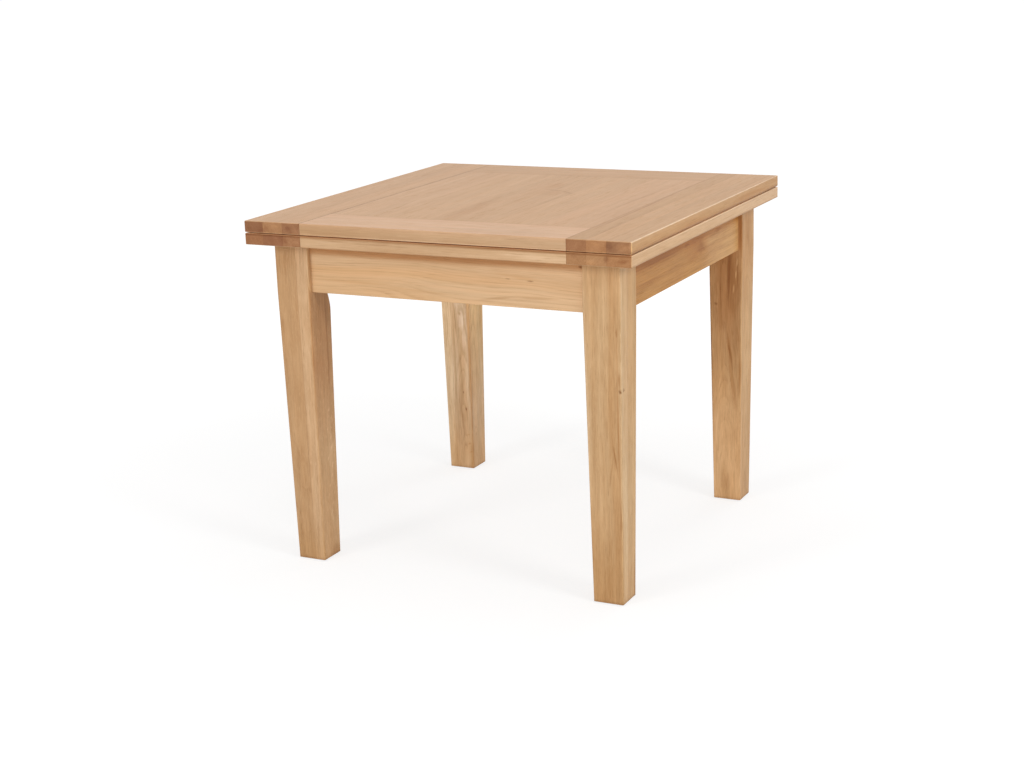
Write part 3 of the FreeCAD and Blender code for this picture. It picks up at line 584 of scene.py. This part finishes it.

# The right edge is paler behind, with a painted highlight on its upper arris and painted shade on its lower
# one.
LOWER_STILE_RIGHT_MARKS = (
    # painted light inside the gap
    ((1.35, 1.30, 1.27), 1.0, (0.446, 0.0, 0.7535), (0.0065, 0.46, 0.0012), LEVEL, 0.75),
    # uneven strips on the cut end
    ((0.74, 0.66, 0.64), 0.9, (0.395, -0.45, 0.743), (0.009, 0.004, 0.012), (0, 25, 0)),
    ((0.80, 0.71, 0.66), 0.9, (0.431, -0.45, 0.74), (0.018, 0.004, 0.007), (0, -12, 0)),
    ((0.90, 0.85, 0.84), 0.9, (0.326, -0.45, 0.746), (0.014, 0.004, 0.007), (0, 10, 0)),
    ((1.18, 1.20, 1.20), 0.9, (0.362, -0.45, 0.735), (0.018, 0.004, 0.009)),
    ((1.10, 1.12, 1.12), 0.9, (0.414, -0.45, 0.747), (0.016, 0.004, 0.005)),
    # along the right edge, with a painted highlight on the upper arris and painted shade on the lower one
    ((1.04, 1.05, 1.03), 1.0, (0.4515, 0.0, 0.7385), (0.006, ANY, 0.022)),
    ((1.13, 1.16, 1.24), 1.0, (0.4515, 0.48, 0.7385), (0.006, 0.65, 0.03)),
    ((1.28, 1.38, 1.52), 1.0, (0.4505, -0.10, 0.7522), (0.003, 0.85, 0.003)),
    ((0.66, 0.54, 0.44), 1.0, (0.4515, 0.0, 0.7275), (0.006, ANY, 0.005)))

# On the front edge: painted shade along the gap's right half, brown streaks under the gap, a paler right end
# and painted shade on the lower arris.
LOWER_RAIL_FRONT_MARKS = (
    # painted shade along the gap's right half
    ((0.78, 0.71, 0.63), 1.0, (0.20, -0.4515, 0.75), (0.24, 0.006, 0.0038)),
    ((0.92, 0.90, 0.88), 1.0, (-0.10, -0.4515, 0.7385), (0.5, 0.006, 0.03)),
    (PALE, 0.9, (0.27, -0.451, 0.74), (0.17, 0.02, 0.022)),
    (BROWN, 0.55, (-0.24, -0.451, 0.747), (0.08, 0.02, 0.003), (0, 2, 0)),
    (BROWN, 0.45, (-0.12, -0.451, 0.744), (0.05, 0.02, 0.003), (0, -2, 0)),
    # painted shade on the lower arris
    ((0.82, 0.72, 0.62), 1.0, (0.0, -0.4515, 0.7275), (ANY, 0.006, 0.004)))


def dress_lower_leaf():
    """Built as the upper leaf is. Closed, only its edges show."""
    dress_oak("lower_stile_left", "Y", (-0.60, 0.66), LOWER_LEAF_TONE, seed=0.4, end=(168, 120, 82),
              end_tones=((0.90, 0.84, 0.80), (0.78, 0.70, 0.70), (0.96, 0.96, 0.96)),
              joints=sides_of("lower_stile_left", 0.0030, 0.40, "x+"),
              marks=GAP_FLOOR_PAINTED_LIGHT + LOWER_ARRIS_PAINTED_SHADE + LOWER_STILE_LEFT_MARKS, **LEFT_STRIPS, **PLAIN_TOP)
    dress_oak("lower_stile_right", "Y", (0.61, 0.58), LOWER_LEAF_TONE, seed=3.3, end=(174, 129, 88),
              end_tones=((0.97, 0.95, 0.92), (1.04, 1.04, 1.02), (1.0, 0.94, 0.88)),
              joints=sides_of("lower_stile_right", 0.0015, 0.6, "x-"),
              marks=GAP_FLOOR_PAINTED_LIGHT + LOWER_END_ARRIS_PAINTED_SHADE + LOWER_STILE_RIGHT_MARKS, **RIGHT_STRIPS, **PLAIN_TOP)
    dress_oak("lower_rail_front", "X", (-0.24, 0.58), LOWER_LEAF_TONE, seed=0.2,
              joints=sides_of("lower_rail_front", JOINT_WIDTH, 0.45, "y+", "x-", "x+"),
              marks=GAP_FLOOR_PAINTED_LIGHT + LOWER_ARRIS_PAINTED_SHADE + LOWER_RAIL_FRONT_MARKS, **dict(PLAIN_TOP, clouds=0.5))
    dress_oak("lower_rail_back", "X", (0.30, 0.60), LOWER_LEAF_TONE, seed=4.0,
              joints=sides_of("lower_rail_back", 0.0015, 0.55, "y-", "x-", "x+"), **PLAIN_TOP)
    dress_boards("lower", (-0.02, 0.05, -0.05, 0.03, 0.01), 0.66, LOWER_BOARD_TONES, 0.33, 0.25, {})


# ------------------------------ the frame
# Painted shadow of the leaf's overhang along the top, three pin knots with the streaks that run past them, a
# paler right half.
APRON_FRONT_MARKS = (
    # painted shadow under the leaf's overhang
    ((0.82, 0.66, 0.52), 1.0, (0.0, -0.396, 0.714), (ANY, 0.02, 0.016)),
    (RUDDY, 0.45, (-0.22, -0.396, 0.649), (0.14, 0.02, 0.005)),
    (RUDDY, 0.35, (-0.05, -0.396, 0.64), (0.12, 0.02, 0.004), (0, 3, 0)),
    (KNOT, 0.45, (0.153, -0.396, 0.679), (0.008, 0.02, 0.0022)),
    (KNOT, 0.70, (0.204, -0.396, 0.677), (0.011, 0.02, 0.0022)),
    (RUDDY, 0.45, (0.175, -0.396, 0.684), (0.07, 0.02, 0.006), (0, 4, 0)),
    (KNOT, 0.80, (0.318, -0.396, 0.713), (0.009, 0.02, 0.005)),
    (BROWN, 0.55, (0.13, -0.396, 0.637), (0.06, 0.02, 0.004), (0, -8, 0)),
    (BROWN, 0.55, (0.22, -0.396, 0.643), (0.065, 0.02, 0.004), (0, -1, 0)),
    (RUDDY, 0.4, (0.02, -0.396, 0.708), (0.30, 0.02, 0.01)),
    ((1.04, 1.07, 1.12), 1.0, (0.26, -0.396, 0.66), (0.36, 0.02, 0.20)))

# Painted shadow of the leaf's overhang along the top, paler towards the back, with curls of brown near the
# middle.
APRON_RIGHT_MARKS = (
    # painted shadow under the leaf's overhang
    ((0.82, 0.67, 0.45), 1.0, (0.396, 0.0, 0.70), (0.02, ANY, 0.02)),
    ((1.04, 1.13, 1.55), 1.0, (0.396, 0.27, 0.665), (0.02, 0.21, 0.20), LEVEL, 0.6),
    ((0.94, 0.92, 0.92), 1.0, (0.396, -0.22, 0.66), (0.02, 0.24, 0.20), LEVEL, 0.6),
    (BROWN, 0.75, (0.396, 0.19, 0.693), (0.02, 0.035, 0.006)),
    (BROWN, 0.75, (0.396, -0.01, 0.692), (0.02, 0.03, 0.006)),
    (BROWN, 0.60, (0.396, 0.08, 0.672), (0.02, 0.03, 0.022)),
    ((1.18, 1.24, 1.30), 1.0, (0.396, 0.36, 0.67), (0.03, 0.30, 0.20)),
    ((0.84, 0.72, 0.60), 0.9, (0.396, 0.05, 0.675), (0.02, 0.09, 0.035)),
    ((1.10, 1.12, 1.02), 0.9, (0.396, -0.10, 0.622), (0.02, 0.40, 0.01)),
    (BROWN, 0.5, (0.396, -0.18, 0.69), (0.02, 0.14, 0.006)),
    (BROWN, 0.5, (0.396, -0.22, 0.655), (0.02, 0.10, 0.005)))


def dress_aprons():
    """Four aprons with level grain, and the pivot board between them."""
    dress_oak("apron_front", "X", (-0.28, 0.60), (216, 176, 134), stretch=3.2, wander=0.07, rings=0.34,
              bands=0.40, streaks=0.14, dashes=0.12, clouds=0.20, contrast=0.75, warmth=0.8,
              joints=sides_of("apron_front", 0.0030, 0.25, "x-", "x+"), marks=APRON_FRONT_MARKS)
    dress_oak("apron_back", "X", (0.28, 0.62), (208, 168, 124), seed=3.0, stretch=2.0)
    # The right apron's tone is darker and browner than the other aprons': painted shade of that side under
    # the overhang.
    dress_oak("apron_right", "Y", (0.20, 0.80), (184, 132, 71), seed=5.0, stretch=1.6,
              joints=sides_of("apron_right", 0.0030, 0.55, "y-", "y+"), marks=APRON_RIGHT_MARKS)
    dress_oak("apron_left", "Y", (-0.22, 0.55), (206, 164, 120), seed=6.0, stretch=2.0)
    dress_oak("pivot_board", "Y", (0.1, 0.5), (206, 166, 122))


FOOT_DARK_BAND = (2, 0.0, 0.0100, 0.45)       # each leg darker in its lowest centimetre and on its foot
LEAN = 0.63                              # degrees that a leg's tapered faces lean from upright


def pale_flecks():
    """Twelve short rays, aslant, one above another on the inner face of the front left leg."""
    flecks = []
    for k in range(12):
        middle = (-0.3277 - 0.0003 * k, -0.352 + 0.009 * math.sin(2.2 * k), 0.345 - 0.022 * k)
        reach = (0.0030, 0.0035, 0.010 + 0.004 * math.sin(5.3 * k))
        flecks.append(((1.18, 1.26, 1.36), 0.9, middle, reach, (-24, 0, 0), 0.3))
    return tuple(flecks)


# The inner face is browner at the top and paler at the foot.
LEG_FRONT_LEFT_MARKS = (
    ((0.84, 0.71, 0.60), 0.95, (-0.3242, -0.36, 0.62), (0.003, 0.16, 0.28), (0, LEAN, 0)),
    (BROWN, 0.7, (-0.326, -0.345, 0.50), (0.01, 0.004, 0.16), (1, 0, 0)),
    (PALE, 0.7, (-0.329, -0.352, 0.27), (0.008, 0.02, 0.14), (3, 0, 0)),
    (PALE, 0.8, (-0.331, -0.356, 0.09), (0.008, 0.01, 0.06), (12, 0, 0)),
    (BROWN, 0.6, (-0.331, -0.34, 0.01), (0.01, 0.04, 0.02)),
    ((0.95, 0.93, 0.86), 1.0, (-0.327, -0.36, 0.363), (0.0022, ANY, ANY), (0, LEAN, 0), 0.9),
    ((0.96, 0.91, 0.88), 0.99, (-0.3264, -0.365, 0.42), (0.004, ANY, 0.18), (0, LEAN, 0)),
    # the front face
    ((0.95, 0.94, 0.93), 1.0, (-0.402, -0.402, 0.30), (0.013, 0.014, 0.22)),
    ((1.22, 1.42, 1.62), 1.0, (-0.323, -0.402, 0.675), (0.004, 0.008, 0.056), LEVEL, 0.9),
    # painted shade towards the foot
    ((0.94, 0.91, 0.84), 1.0, (-0.365, -0.398, 0.0), (ANY, 0.012, 0.10)))

# A plain plank but for two knots that sit on its outer arris.
LEG_FRONT_RIGHT_MARKS = (
    # lines up the front and the right face
    ((1.08, 1.12, 1.18), 0.8, (0.332, -0.403, 0.40), (0.01, 0.02, 0.42)),
    ((0.93, 0.88, 0.82), 0.9, (0.387, -0.402, 0.36), (0.013, 0.01, 0.50), LEVEL, 0.6),
    ((0.84, 0.72, 0.60), 0.9, (0.396, -0.402, 0.40), (0.0028, 0.01, 0.34)),
    ((1.05, 1.09, 1.15), 1.0, (0.4078, -0.404, 0.36), (0.0046, 0.007, ANY), LEVEL, 0.8),
    ((1.10, 1.16, 1.26), 1.0, (0.327, -0.402, 0.46), (0.005, 0.02, 0.34), (0, -LEAN, 0), 0.4),
    ((1.04, 1.07, 1.11), 0.9, (0.332, -0.402, 0.40), (0.008, 0.02, 0.13)),
    ((1.12, 1.18, 1.22), 1.0, (0.402, -0.39, 0.363), (0.0025, 0.018, ANY), (0, LEAN, 0), 0.85),
    ((1.01, 1.01, 0.95), 1.0, (0.402, -0.342, 0.36), (0.01, 0.03, ANY), LEVEL, 0.85),
    # the knots and the streaks that run past them
    (KNOT, 0.95, (0.402, -0.4055, 0.463), (0.0065, 0.006, 0.0065)),
    (KNOT, 0.90, (0.403, -0.391, 0.465), (0.006, 0.0055, 0.0055)),
    (BROWN, 0.85, (0.40, -0.404, 0.486), (0.004, 0.006, 0.028)),
    (BROWN, 0.85, (0.396, -0.404, 0.585), (0.003, 0.006, 0.012)),
    (BROWN, 0.85, (0.3875, -0.402, 0.32), (0.0026, 0.02, 0.055), (0, -8, 0)),
    (BROWN, 0.45, (0.377, -0.402, 0.285), (0.0026, 0.02, 0.05), (0, 9, 0)),
    (BROWN, 0.80, (0.397, -0.401, 0.18), (0.003, 0.02, 0.07), (0, 2, 0)),
    (BROWN, 0.90, (0.399, -0.334, 0.03), (0.006, 0.009, 0.08)),
    # paler lengths, with painted light at the top of the front face and painted shade towards its foot
    ((1.03, 1.06, 1.10), 1.0, (0.365, -0.403, 0.44), (ANY, 0.014, 0.36)),
    ((1.09, 1.10, 1.12), 1.0, (0.365, -0.406, 0.685), (ANY, 0.012, 0.055)),
    ((1.05, 1.10, 1.16), 1.0, (0.401, -0.365, 0.26), (0.004, ANY, 0.26), (0, LEAN, 0)),
    ((0.91, 0.86, 0.78), 1.0, (0.365, -0.398, 0.0), (ANY, 0.012, 0.22)))

# Pale tongues one above another, with brown lines beside them.
LEG_BACK_LEFT_MARKS = (
    ((1.10, 1.15, 1.18), 1.0, (-0.392, 0.326, 0.20), (0.0145, 0.014, ANY), LEVEL, 0.75),
    ((0.88, 0.82, 0.74), 0.9, (-0.356, 0.325, 0.30), (0.018, 0.014, 0.30)),
    ((0.84, 0.78, 0.70), 0.9, (-0.3715, 0.325, 0.25), (0.0045, 0.014, 0.30)),
    ((1.12, 1.17, 1.30), 0.98, (-0.361, 0.324, 0.445), (0.013, 0.012, 0.034), (0, 4, 0), 0.4),
    ((1.18, 1.25, 1.42), 0.98, (-0.35, 0.324, 0.393), (0.014, 0.012, 0.034), (0, 6, 0), 0.4),
    (BROWN, 0.75, (-0.3525, 0.324, 0.414), (0.0045, 0.012, 0.008)),
    ((1.16, 1.22, 1.36), 0.98, (-0.344, 0.325, 0.34), (0.009, 0.012, 0.034), (0, 5, 0), 0.4),
    # knots and strokes of the lower half
    (KNOT, 0.65, (-0.3515, 0.326, 0.206), (0.003, 0.01, 0.006)),
    (KNOT, 0.75, (-0.3455, 0.327, 0.161), (0.004, 0.01, 0.007)),
    ((0.93, 0.87, 0.81), 0.9, (-0.358, 0.328, 0.06), (0.015, 0.012, 0.11)),
    (RUDDY, 0.7, (-0.343, 0.328, 0.092), (0.009, 0.012, 0.003), (0, -25, 0)),
    (RUDDY, 0.7, (-0.34, 0.329, 0.068), (0.009, 0.012, 0.003), (0, -25, 0)),
    (RUDDY, 0.7, (-0.337, 0.329, 0.046), (0.008, 0.012, 0.003), (0, -25, 0)),
    ((1.12, 1.16, 1.22), 0.98, (-0.345, 0.326, 0.20), (0.009, 0.012, 0.06), (0, 2, 0), 0.4),
    ((0.86, 0.82, 0.82), 1.0, (-0.33, 0.325, 0.43), (0.01, 0.012, 0.26), LEVEL, 0.5),
    ((0.92, 0.87, 0.83), 1.0, (-0.326, 0.328, 0.22), (0.009, 0.014, 0.60), LEVEL, 0.4),
    ((1.03, 0.98, 0.86), 1.0, (-0.322, 0.365, 0.36), (0.008, ANY, ANY)),
    # brown lines that close round the tongues
    (BROWN, 0.60, (-0.3665, 0.324, 0.40), (0.0028, 0.012, 0.09), (0, -3, 0)),
    (BROWN, 0.60, (-0.341, 0.324, 0.39), (0.0028, 0.012, 0.09), (0, 3, 0)),
    (BROWN, 0.55, (-0.356, 0.325, 0.28), (0.004, 0.012, 0.06), (0, -4, 0)),
    (BROWN, 0.60, (-0.358, 0.327, 0.142), (0.0045, 0.012, 0.09), (0, -5.5, 0)),
    (KNOT, 0.9, (-0.397, 0.324, 0.56), (0.006, 0.006, 0.016)),
    (RUDDY, 0.8, (-0.33, 0.325, 0.35), (0.006, 0.008, 0.40)),
    # paler lengths of painted light over the front and right faces, and painted shade towards the foot
    ((1.20, 1.29, 1.38), 1.0, (-0.365, 0.325, 0.50), (ANY, 0.012, 0.42)),
    ((0.93, 0.88, 0.80), 1.0, (-0.365, 0.331, 0.0), (ANY, 0.012, 0.15)),
    ((1.31, 1.36, 1.26), 1.0, (-0.325, 0.365, 0.48), (0.012, ANY, 0.42)),
    ((0.92, 0.86, 0.76), 1.0, (-0.331, 0.365, 0.0), (0.012, ANY, 0.20)))

# A brown flame with pale flecks beside it, a pale foot, and painted shade beside the right apron.
LEG_BACK_RIGHT_MARKS = (
    ((0.80, 0.65, 0.53), 0.95, (0.365, 0.322, 0.54), (0.06, 0.016, 0.32)),
    ((1.18, 1.23, 1.32), 1.0, (0.365, 0.33, 0.12), (ANY, 0.014, 0.24)),
    # painted shade on the strip of the front face beside the right apron
    (BROWN, 1.0, (0.4015, 0.323, 0.675), (0.008, 0.008, 0.10)),
    (BROWN, 0.7, (0.329, 0.326, 0.15), (0.006, 0.008, 0.18)),
    (BROWN, 0.5, (0.327, 0.3245, 0.38), (0.0045, 0.008, 0.11), (0, -LEAN, 0)),
    (BROWN, 0.8, (0.3985, 0.327, 0.31), (0.0045, 0.008, 0.085), (0, LEAN, 0)),
    ((1.06, 1.09, 1.13), 0.9, (0.343, 0.323, 0.565), (0.013, 0.01, 0.075)),
    ((0.84, 0.78, 0.73), 1.0, (0.3265, 0.326, 0.42), (0.005, 0.012, 0.36)),
    ((0.82, 0.73, 0.64), 0.9, (0.3815, 0.327, 0.29), (0.0085, 0.012, 0.15), (0, -6, 0)),
    ((1.20, 1.32, 1.48), 1.0, (0.4055, 0.323, 0.42), (0.0065, 0.007, 0.21), LEVEL, 0.7),
    (KNOT, 0.60, (0.34, 0.3235, 0.488), (0.006, 0.01, 0.006)),
    (BROWN, 0.90, (0.375, 0.3255, 0.37), (0.006, 0.01, 0.06), (0, -8, 0)),
    ((0.62, 0.50, 0.40), 0.95, (0.373, 0.324, 0.56), (0.006, 0.01, 0.11), (0, 2, 0)),
    (BROWN, 0.85, (0.3945, 0.323, 0.56), (0.0022, 0.01, 0.08), (0, 1, 0)),
    (BROWN, 0.60, (0.352, 0.324, 0.50), (0.003, 0.01, 0.12), (0, -1, 0)),
    ((1.35, 1.55, 1.75), 1.0, (0.394, 0.323, 0.592), (0.0028, 0.01, 0.013), (0, 6, 0), 0.3),
    ((1.35, 1.55, 1.75), 1.0, (0.39, 0.323, 0.562), (0.0028, 0.01, 0.013), (0, 6, 0), 0.3),
    ((1.40, 1.60, 1.80), 1.0, (0.384, 0.323, 0.527), (0.0028, 0.01, 0.016), (0, 6, 0), 0.3),
    ((1.08, 1.11, 1.08), 1.0, (0.404, 0.365, 0.40), (0.01, 0.07, 0.90)),
    (RUDDY, 0.70, (0.406, 0.365, 0.63), (0.01, 0.06, 0.18)))


def dress_legs():
    """Four legs from four planks: the front ones quarter sawn, the back ones flat sawn."""
    dress_oak("leg_front_left", "Z", (-0.37, -0.62), (195, 155, 113), seed=0.45, contrast=0.85, wander=0.015,
              clouds=0.30, rays=0.35, strips=(-0.354,), strip_tones=((0.955, 0.93, 0.92), (1.10, 1.14, 1.25)),
              joints=(FOOT_DARK_BAND,), marks=pale_flecks() + LEG_FRONT_LEFT_MARKS)
    dress_oak("leg_front_right", "Z", (0.46, -0.36), (197, 157, 114), seed=1.7, contrast=0.85, wander=0.015,
              clouds=0.25, joints=(FOOT_DARK_BAND,), marks=LEG_FRONT_RIGHT_MARKS)
    # The back left leg's pale tone is partly its own wood and partly painted light that lifts the shade under
    # the table.
    dress_oak("leg_back_left", "Z", (-0.353, 0.345), (208, 172, 134), seed=2.9, wander=0.05, taper=0.035,
              rings=0.50, bands=0.5, streaks=0.2, warmth=0.8, joints=(FOOT_DARK_BAND,), marks=LEG_BACK_LEFT_MARKS)
    dress_oak("leg_back_right", "Z", (0.360, 0.360), (196, 152, 106), seed=4.1, taper=0.02,
              joints=(FOOT_DARK_BAND,), marks=LEG_BACK_RIGHT_MARKS)


dress_upper_leaf()
dress_lower_leaf()
dress_aprons()
dress_legs()


# ------------------------------ steel, brass, nylon and felt
def object_place(tree):
    return tree.nodes.new("ShaderNodeTexCoord").outputs["Object"]


def zinc_plate():
    """Bright zinc on pressed steel: faint spangle, a bluish and a straw tint, and fine roller lines."""
    material, tree, shader = new_material("bright zinc plated steel")
    place = object_place(tree)
    spangle = noise_node(tree, place, scale=160.0, detail=3.0, roughness=0.6)
    cast = noise_node(tree, place, scale=28.0, detail=2.0)
    lines = noise_node(tree, vector_node(tree, "MULTIPLY", place, (2600.0, 90.0, 2600.0)), detail=2.0)
    straw = range_node(tree, cast, 0.40, 0.62)
    colour = mix_colour(tree, straw, (0.60, 0.61, 0.63, 1.0), (0.66, 0.64, 0.58, 1.0))
    worn = range_node(tree, spangle, 0.30, 0.70, 0.82, 1.10)
    colour = tint(tree, 1.0, colour, combine(tree, worn, worn, worn))
    feed(tree, shader.inputs["Base Color"], colour)
    shader.inputs["Metallic"].default_value = 1.0
    rough = math_node(tree, "ADD", range_node(tree, spangle, 0.30, 0.70, 0.46, 0.30),
                      range_node(tree, lines, 0.30, 0.70, -0.03, 0.05))
    feed(tree, shader.inputs["Roughness"], rough)
    finish_with_bump(tree, shader, lines, 0.12, 0.00008)
    return material


def satin_brass():
    """Satin brass, browner where hands and air have dulled it, with fine polishing lines."""
    material, tree, shader = new_material("satin brass")
    place = object_place(tree)
    dull = noise_node(tree, place, scale=90.0, detail=4.0, roughness=0.65)
    lines = noise_node(tree, vector_node(tree, "MULTIPLY", place, (60.0, 3000.0, 3000.0)), detail=2.0)
    share = range_node(tree, dull, 0.38, 0.68, smooth=True)
    colour = mix_colour(tree, share, (0.64, 0.46, 0.21, 1.0), (0.44, 0.30, 0.13, 1.0))
    colour = mix_colour(tree, range_node(tree, lines, 0.35, 0.65, 0.0, 0.25), colour, (0.76, 0.58, 0.30, 1.0))
    feed(tree, shader.inputs["Base Color"], colour)
    shader.inputs["Metallic"].default_value = 1.0
    rough = math_node(tree, "ADD", range_node(tree, dull, 0.35, 0.70, 0.27, 0.44),
                      range_node(tree, lines, 0.30, 0.70, -0.03, 0.05))
    feed(tree, shader.inputs["Roughness"], rough)
    finish_with_bump(tree, shader, lines, 0.15, 0.00006)
    return material


def natural_nylon():
    """Moulded nylon in its own ivory, a little see-through, faintly pitted and scuffed."""
    material, tree, shader = new_material("natural nylon")
    place = object_place(tree)
    flow = noise_node(tree, place, scale=70.0, detail=3.0)
    pits = noise_node(tree, place, scale=1400.0, detail=2.0)
    scuffs = noise_node(tree, place, scale=320.0, detail=4.0, distortion=1.5)
    scuffs = range_node(tree, scuffs, 0.56, 0.70, smooth=True)
    flow = range_node(tree, flow, 0.35, 0.65)
    colour = mix_colour(tree, flow, (0.80, 0.77, 0.68, 1.0), (0.88, 0.86, 0.80, 1.0))
    colour = mix_colour(tree, math_node(tree, "MULTIPLY", scuffs, 0.35), colour, (0.56, 0.50, 0.42, 1.0))
    feed(tree, shader.inputs["Base Color"], colour)
    feed(tree, shader.inputs["Roughness"], range_node(tree, pits, 0.30, 0.70, 0.38, 0.56))
    shader.inputs["Subsurface Weight"].default_value = 0.08
    shader.inputs["Subsurface Radius"].default_value = (0.0030, 0.0022, 0.0016)
    finish_with_bump(tree, shader, pits, 0.2, 0.00008)
    return material


def brown_felt():
    """Pressed brown felt: short fibres that lie every way, with paler and darker ones among them."""
    material, tree, shader = new_material("brown felt")
    place = object_place(tree)
    one_way = noise_node(tree, vector_node(tree, "MULTIPLY", place, (2200.0, 420.0, 1200.0)), detail=3.0,
                         roughness=0.7, distortion=1.2)
    other_way = noise_node(tree, vector_node(tree, "MULTIPLY", place, (380.0, 2100.0, 1200.0)), detail=3.0,
                           roughness=0.7, distortion=1.2)
    fibres = math_node(tree, "MAXIMUM", one_way, other_way)
    nap = noise_node(tree, place, scale=240.0, detail=2.0)
    colour = mix_colour(tree, range_node(tree, fibres, 0.42, 0.72), (0.13, 0.085, 0.050, 1.0),
                        (0.33, 0.25, 0.17, 1.0))
    colour = mix_colour(tree, range_node(tree, nap, 0.35, 0.65, 0.0, 0.45), colour, (0.20, 0.15, 0.10, 1.0))
    feed(tree, shader.inputs["Base Color"], colour)
    feed(tree, shader.inputs["Roughness"], range_node(tree, nap, 0.30, 0.70, 0.88, 1.0))
    shader.inputs["Specular IOR Level"].default_value = 0.10
    shader.inputs["Sheen Weight"].default_value = 0.35
    shader.inputs["Sheen Roughness"].default_value = 0.5
    shader.inputs["Sheen Tint"].default_value = (0.80, 0.68, 0.54, 1.0)
    finish_with_bump(tree, shader, fibres, 0.8, 0.0004)
    return material


FITTINGS = {
    "zinc_steel": zinc_plate(),
    "brass": satin_brass(),
    "nylon": natural_nylon(),
    "felt": brown_felt()}
for piece in frame["record"]["subparts"]:
    if piece["material_slot"] in FITTINGS:
        dress(piece["node"], FITTINGS[piece["material_slot"]])


# ------------------------------ floor and light
FLOOR_SIZE = 120.0
FLOOR_COLOUR = (0.80, 0.80, 0.79, 1.0)
SEEN_FLOOR_COLOUR = (0.30, 0.30, 0.30, 1.0)   # what is seen of it under the veil, shadow and all
VEIL_START, VEIL_END = 0.6, 2.6               # metres from the table over which the floor turns white
VEIL_NEAR, VEIL_FAR = 0.74, 0.86              # how bright the veil is at both
WORLD_LEVEL = 0.54
LIT_POINT = Vector((0.0, 0.0, 0.6))           # what the soft boxes face


def seen_rays(tree):
    """1 for rays that show a surface: straight, mirrored or through glass."""
    rays = tree.nodes.new("ShaderNodeLightPath")
    seen = math_node(tree, "MAXIMUM", rays.outputs["Is Camera Ray"], rays.outputs["Is Glossy Ray"])
    return math_node(tree, "MAXIMUM", seen, rays.outputs["Is Transmission Ray"])


def make_floor():
    """A pale floor. Looked at, it fades into the white round it and keeps the table's shadow."""
    bm = bmesh.new()
    bmesh.ops.create_grid(bm, x_segments=1, y_segments=1, size=FLOOR_SIZE / 2)
    mesh = bpy.data.meshes.new("floor")
    bm.to_mesh(mesh)
    bm.free()
    floor = bpy.data.objects.new("floor", mesh)
    bpy.context.scene.collection.objects.link(floor)
    material, tree, shader = new_material("pale floor")
    shader.inputs["Base Color"].default_value = FLOOR_COLOUR
    shader.inputs["Roughness"].default_value = 0.9
    shader.inputs["Specular IOR Level"].default_value = 0.0
    veil = tree.nodes.new("ShaderNodeEmission")
    coordinates = tree.nodes.new("ShaderNodeTexCoord")
    away = vector_node(tree, "LENGTH", coordinates.outputs["Object"])
    glow = range_node(tree, away, VEIL_START, VEIL_END, VEIL_NEAR, VEIL_FAR, smooth=True)
    feed(tree, veil.inputs["Strength"], glow)
    shaded = tree.nodes.new("ShaderNodeBsdfDiffuse")
    shaded.inputs["Color"].default_value = SEEN_FLOOR_COLOUR
    both = tree.nodes.new("ShaderNodeAddShader")
    tree.links.new(veil.outputs[0], both.inputs[0])
    tree.links.new(shaded.outputs[0], both.inputs[1])
    choice = tree.nodes.new("ShaderNodeMixShader")
    feed(tree, choice.inputs[0], seen_rays(tree))
    tree.links.new(shader.outputs[0], choice.inputs[1])
    tree.links.new(both.outputs[0], choice.inputs[2])
    tree.links.new(choice.outputs[0], tree.nodes["Material Output"].inputs["Surface"])
    mesh.materials.append(material)


def make_world():
    """Even light from all round, and plain white behind the table."""
    world = bpy.data.worlds.new("studio")
    bpy.context.scene.world = world
    world.use_nodes = True
    tree = world.node_tree
    background = tree.nodes["Background"]
    background.inputs["Color"].default_value = (1.0, 1.0, 1.0, 1.0)
    feed(tree, background.inputs["Strength"], range_node(tree, seen_rays(tree), 0.0, 1.0, WORLD_LEVEL, 1.0))


def soft_box(name, azimuth, elevation, level, away=2.8, size=1.5):
    """A round soft box. Azimuth 0 stands in front of the table, 90 to its right, 180 behind it.

    level is what it adds to a white card that faces it where the table stands.
    """
    data = bpy.data.lights.new(name, "AREA")
    data.shape = "DISK"
    data.size = size
    data.energy = level * math.pi ** 2 * away ** 2
    lamp = bpy.data.objects.new(name, data)
    bpy.context.scene.collection.objects.link(lamp)
    a = math.radians(azimuth)
    e = math.radians(elevation)
    towards = Vector((math.sin(a) * math.cos(e), -math.cos(a) * math.cos(e), math.sin(e)))
    lamp.rotation_mode = "QUATERNION"
    lamp.rotation_quaternion = towards.to_track_quat("Z", "Y")
    lamp.location = LIT_POINT + towards * away
    lamp.visible_camera = False


make_floor()
make_world()
soft_box("overhead soft box", 0.0, 82.0, 0.18, away=2.6, size=1.8)
soft_box("left soft box", -24.0, 20.0, 0.24, away=5.0, size=1.5)
soft_box("right soft box", 70.0, 28.0, 0.28, away=5.0, size=1.5)
soft_box("low soft box", 30.0, 3.0, 0.10, away=5.0, size=1.5)
soft_box("back soft box", 165.0, 28.0, 0.12, size=1.2)

bpy.context.scene.view_settings.view_transform = "Standard"
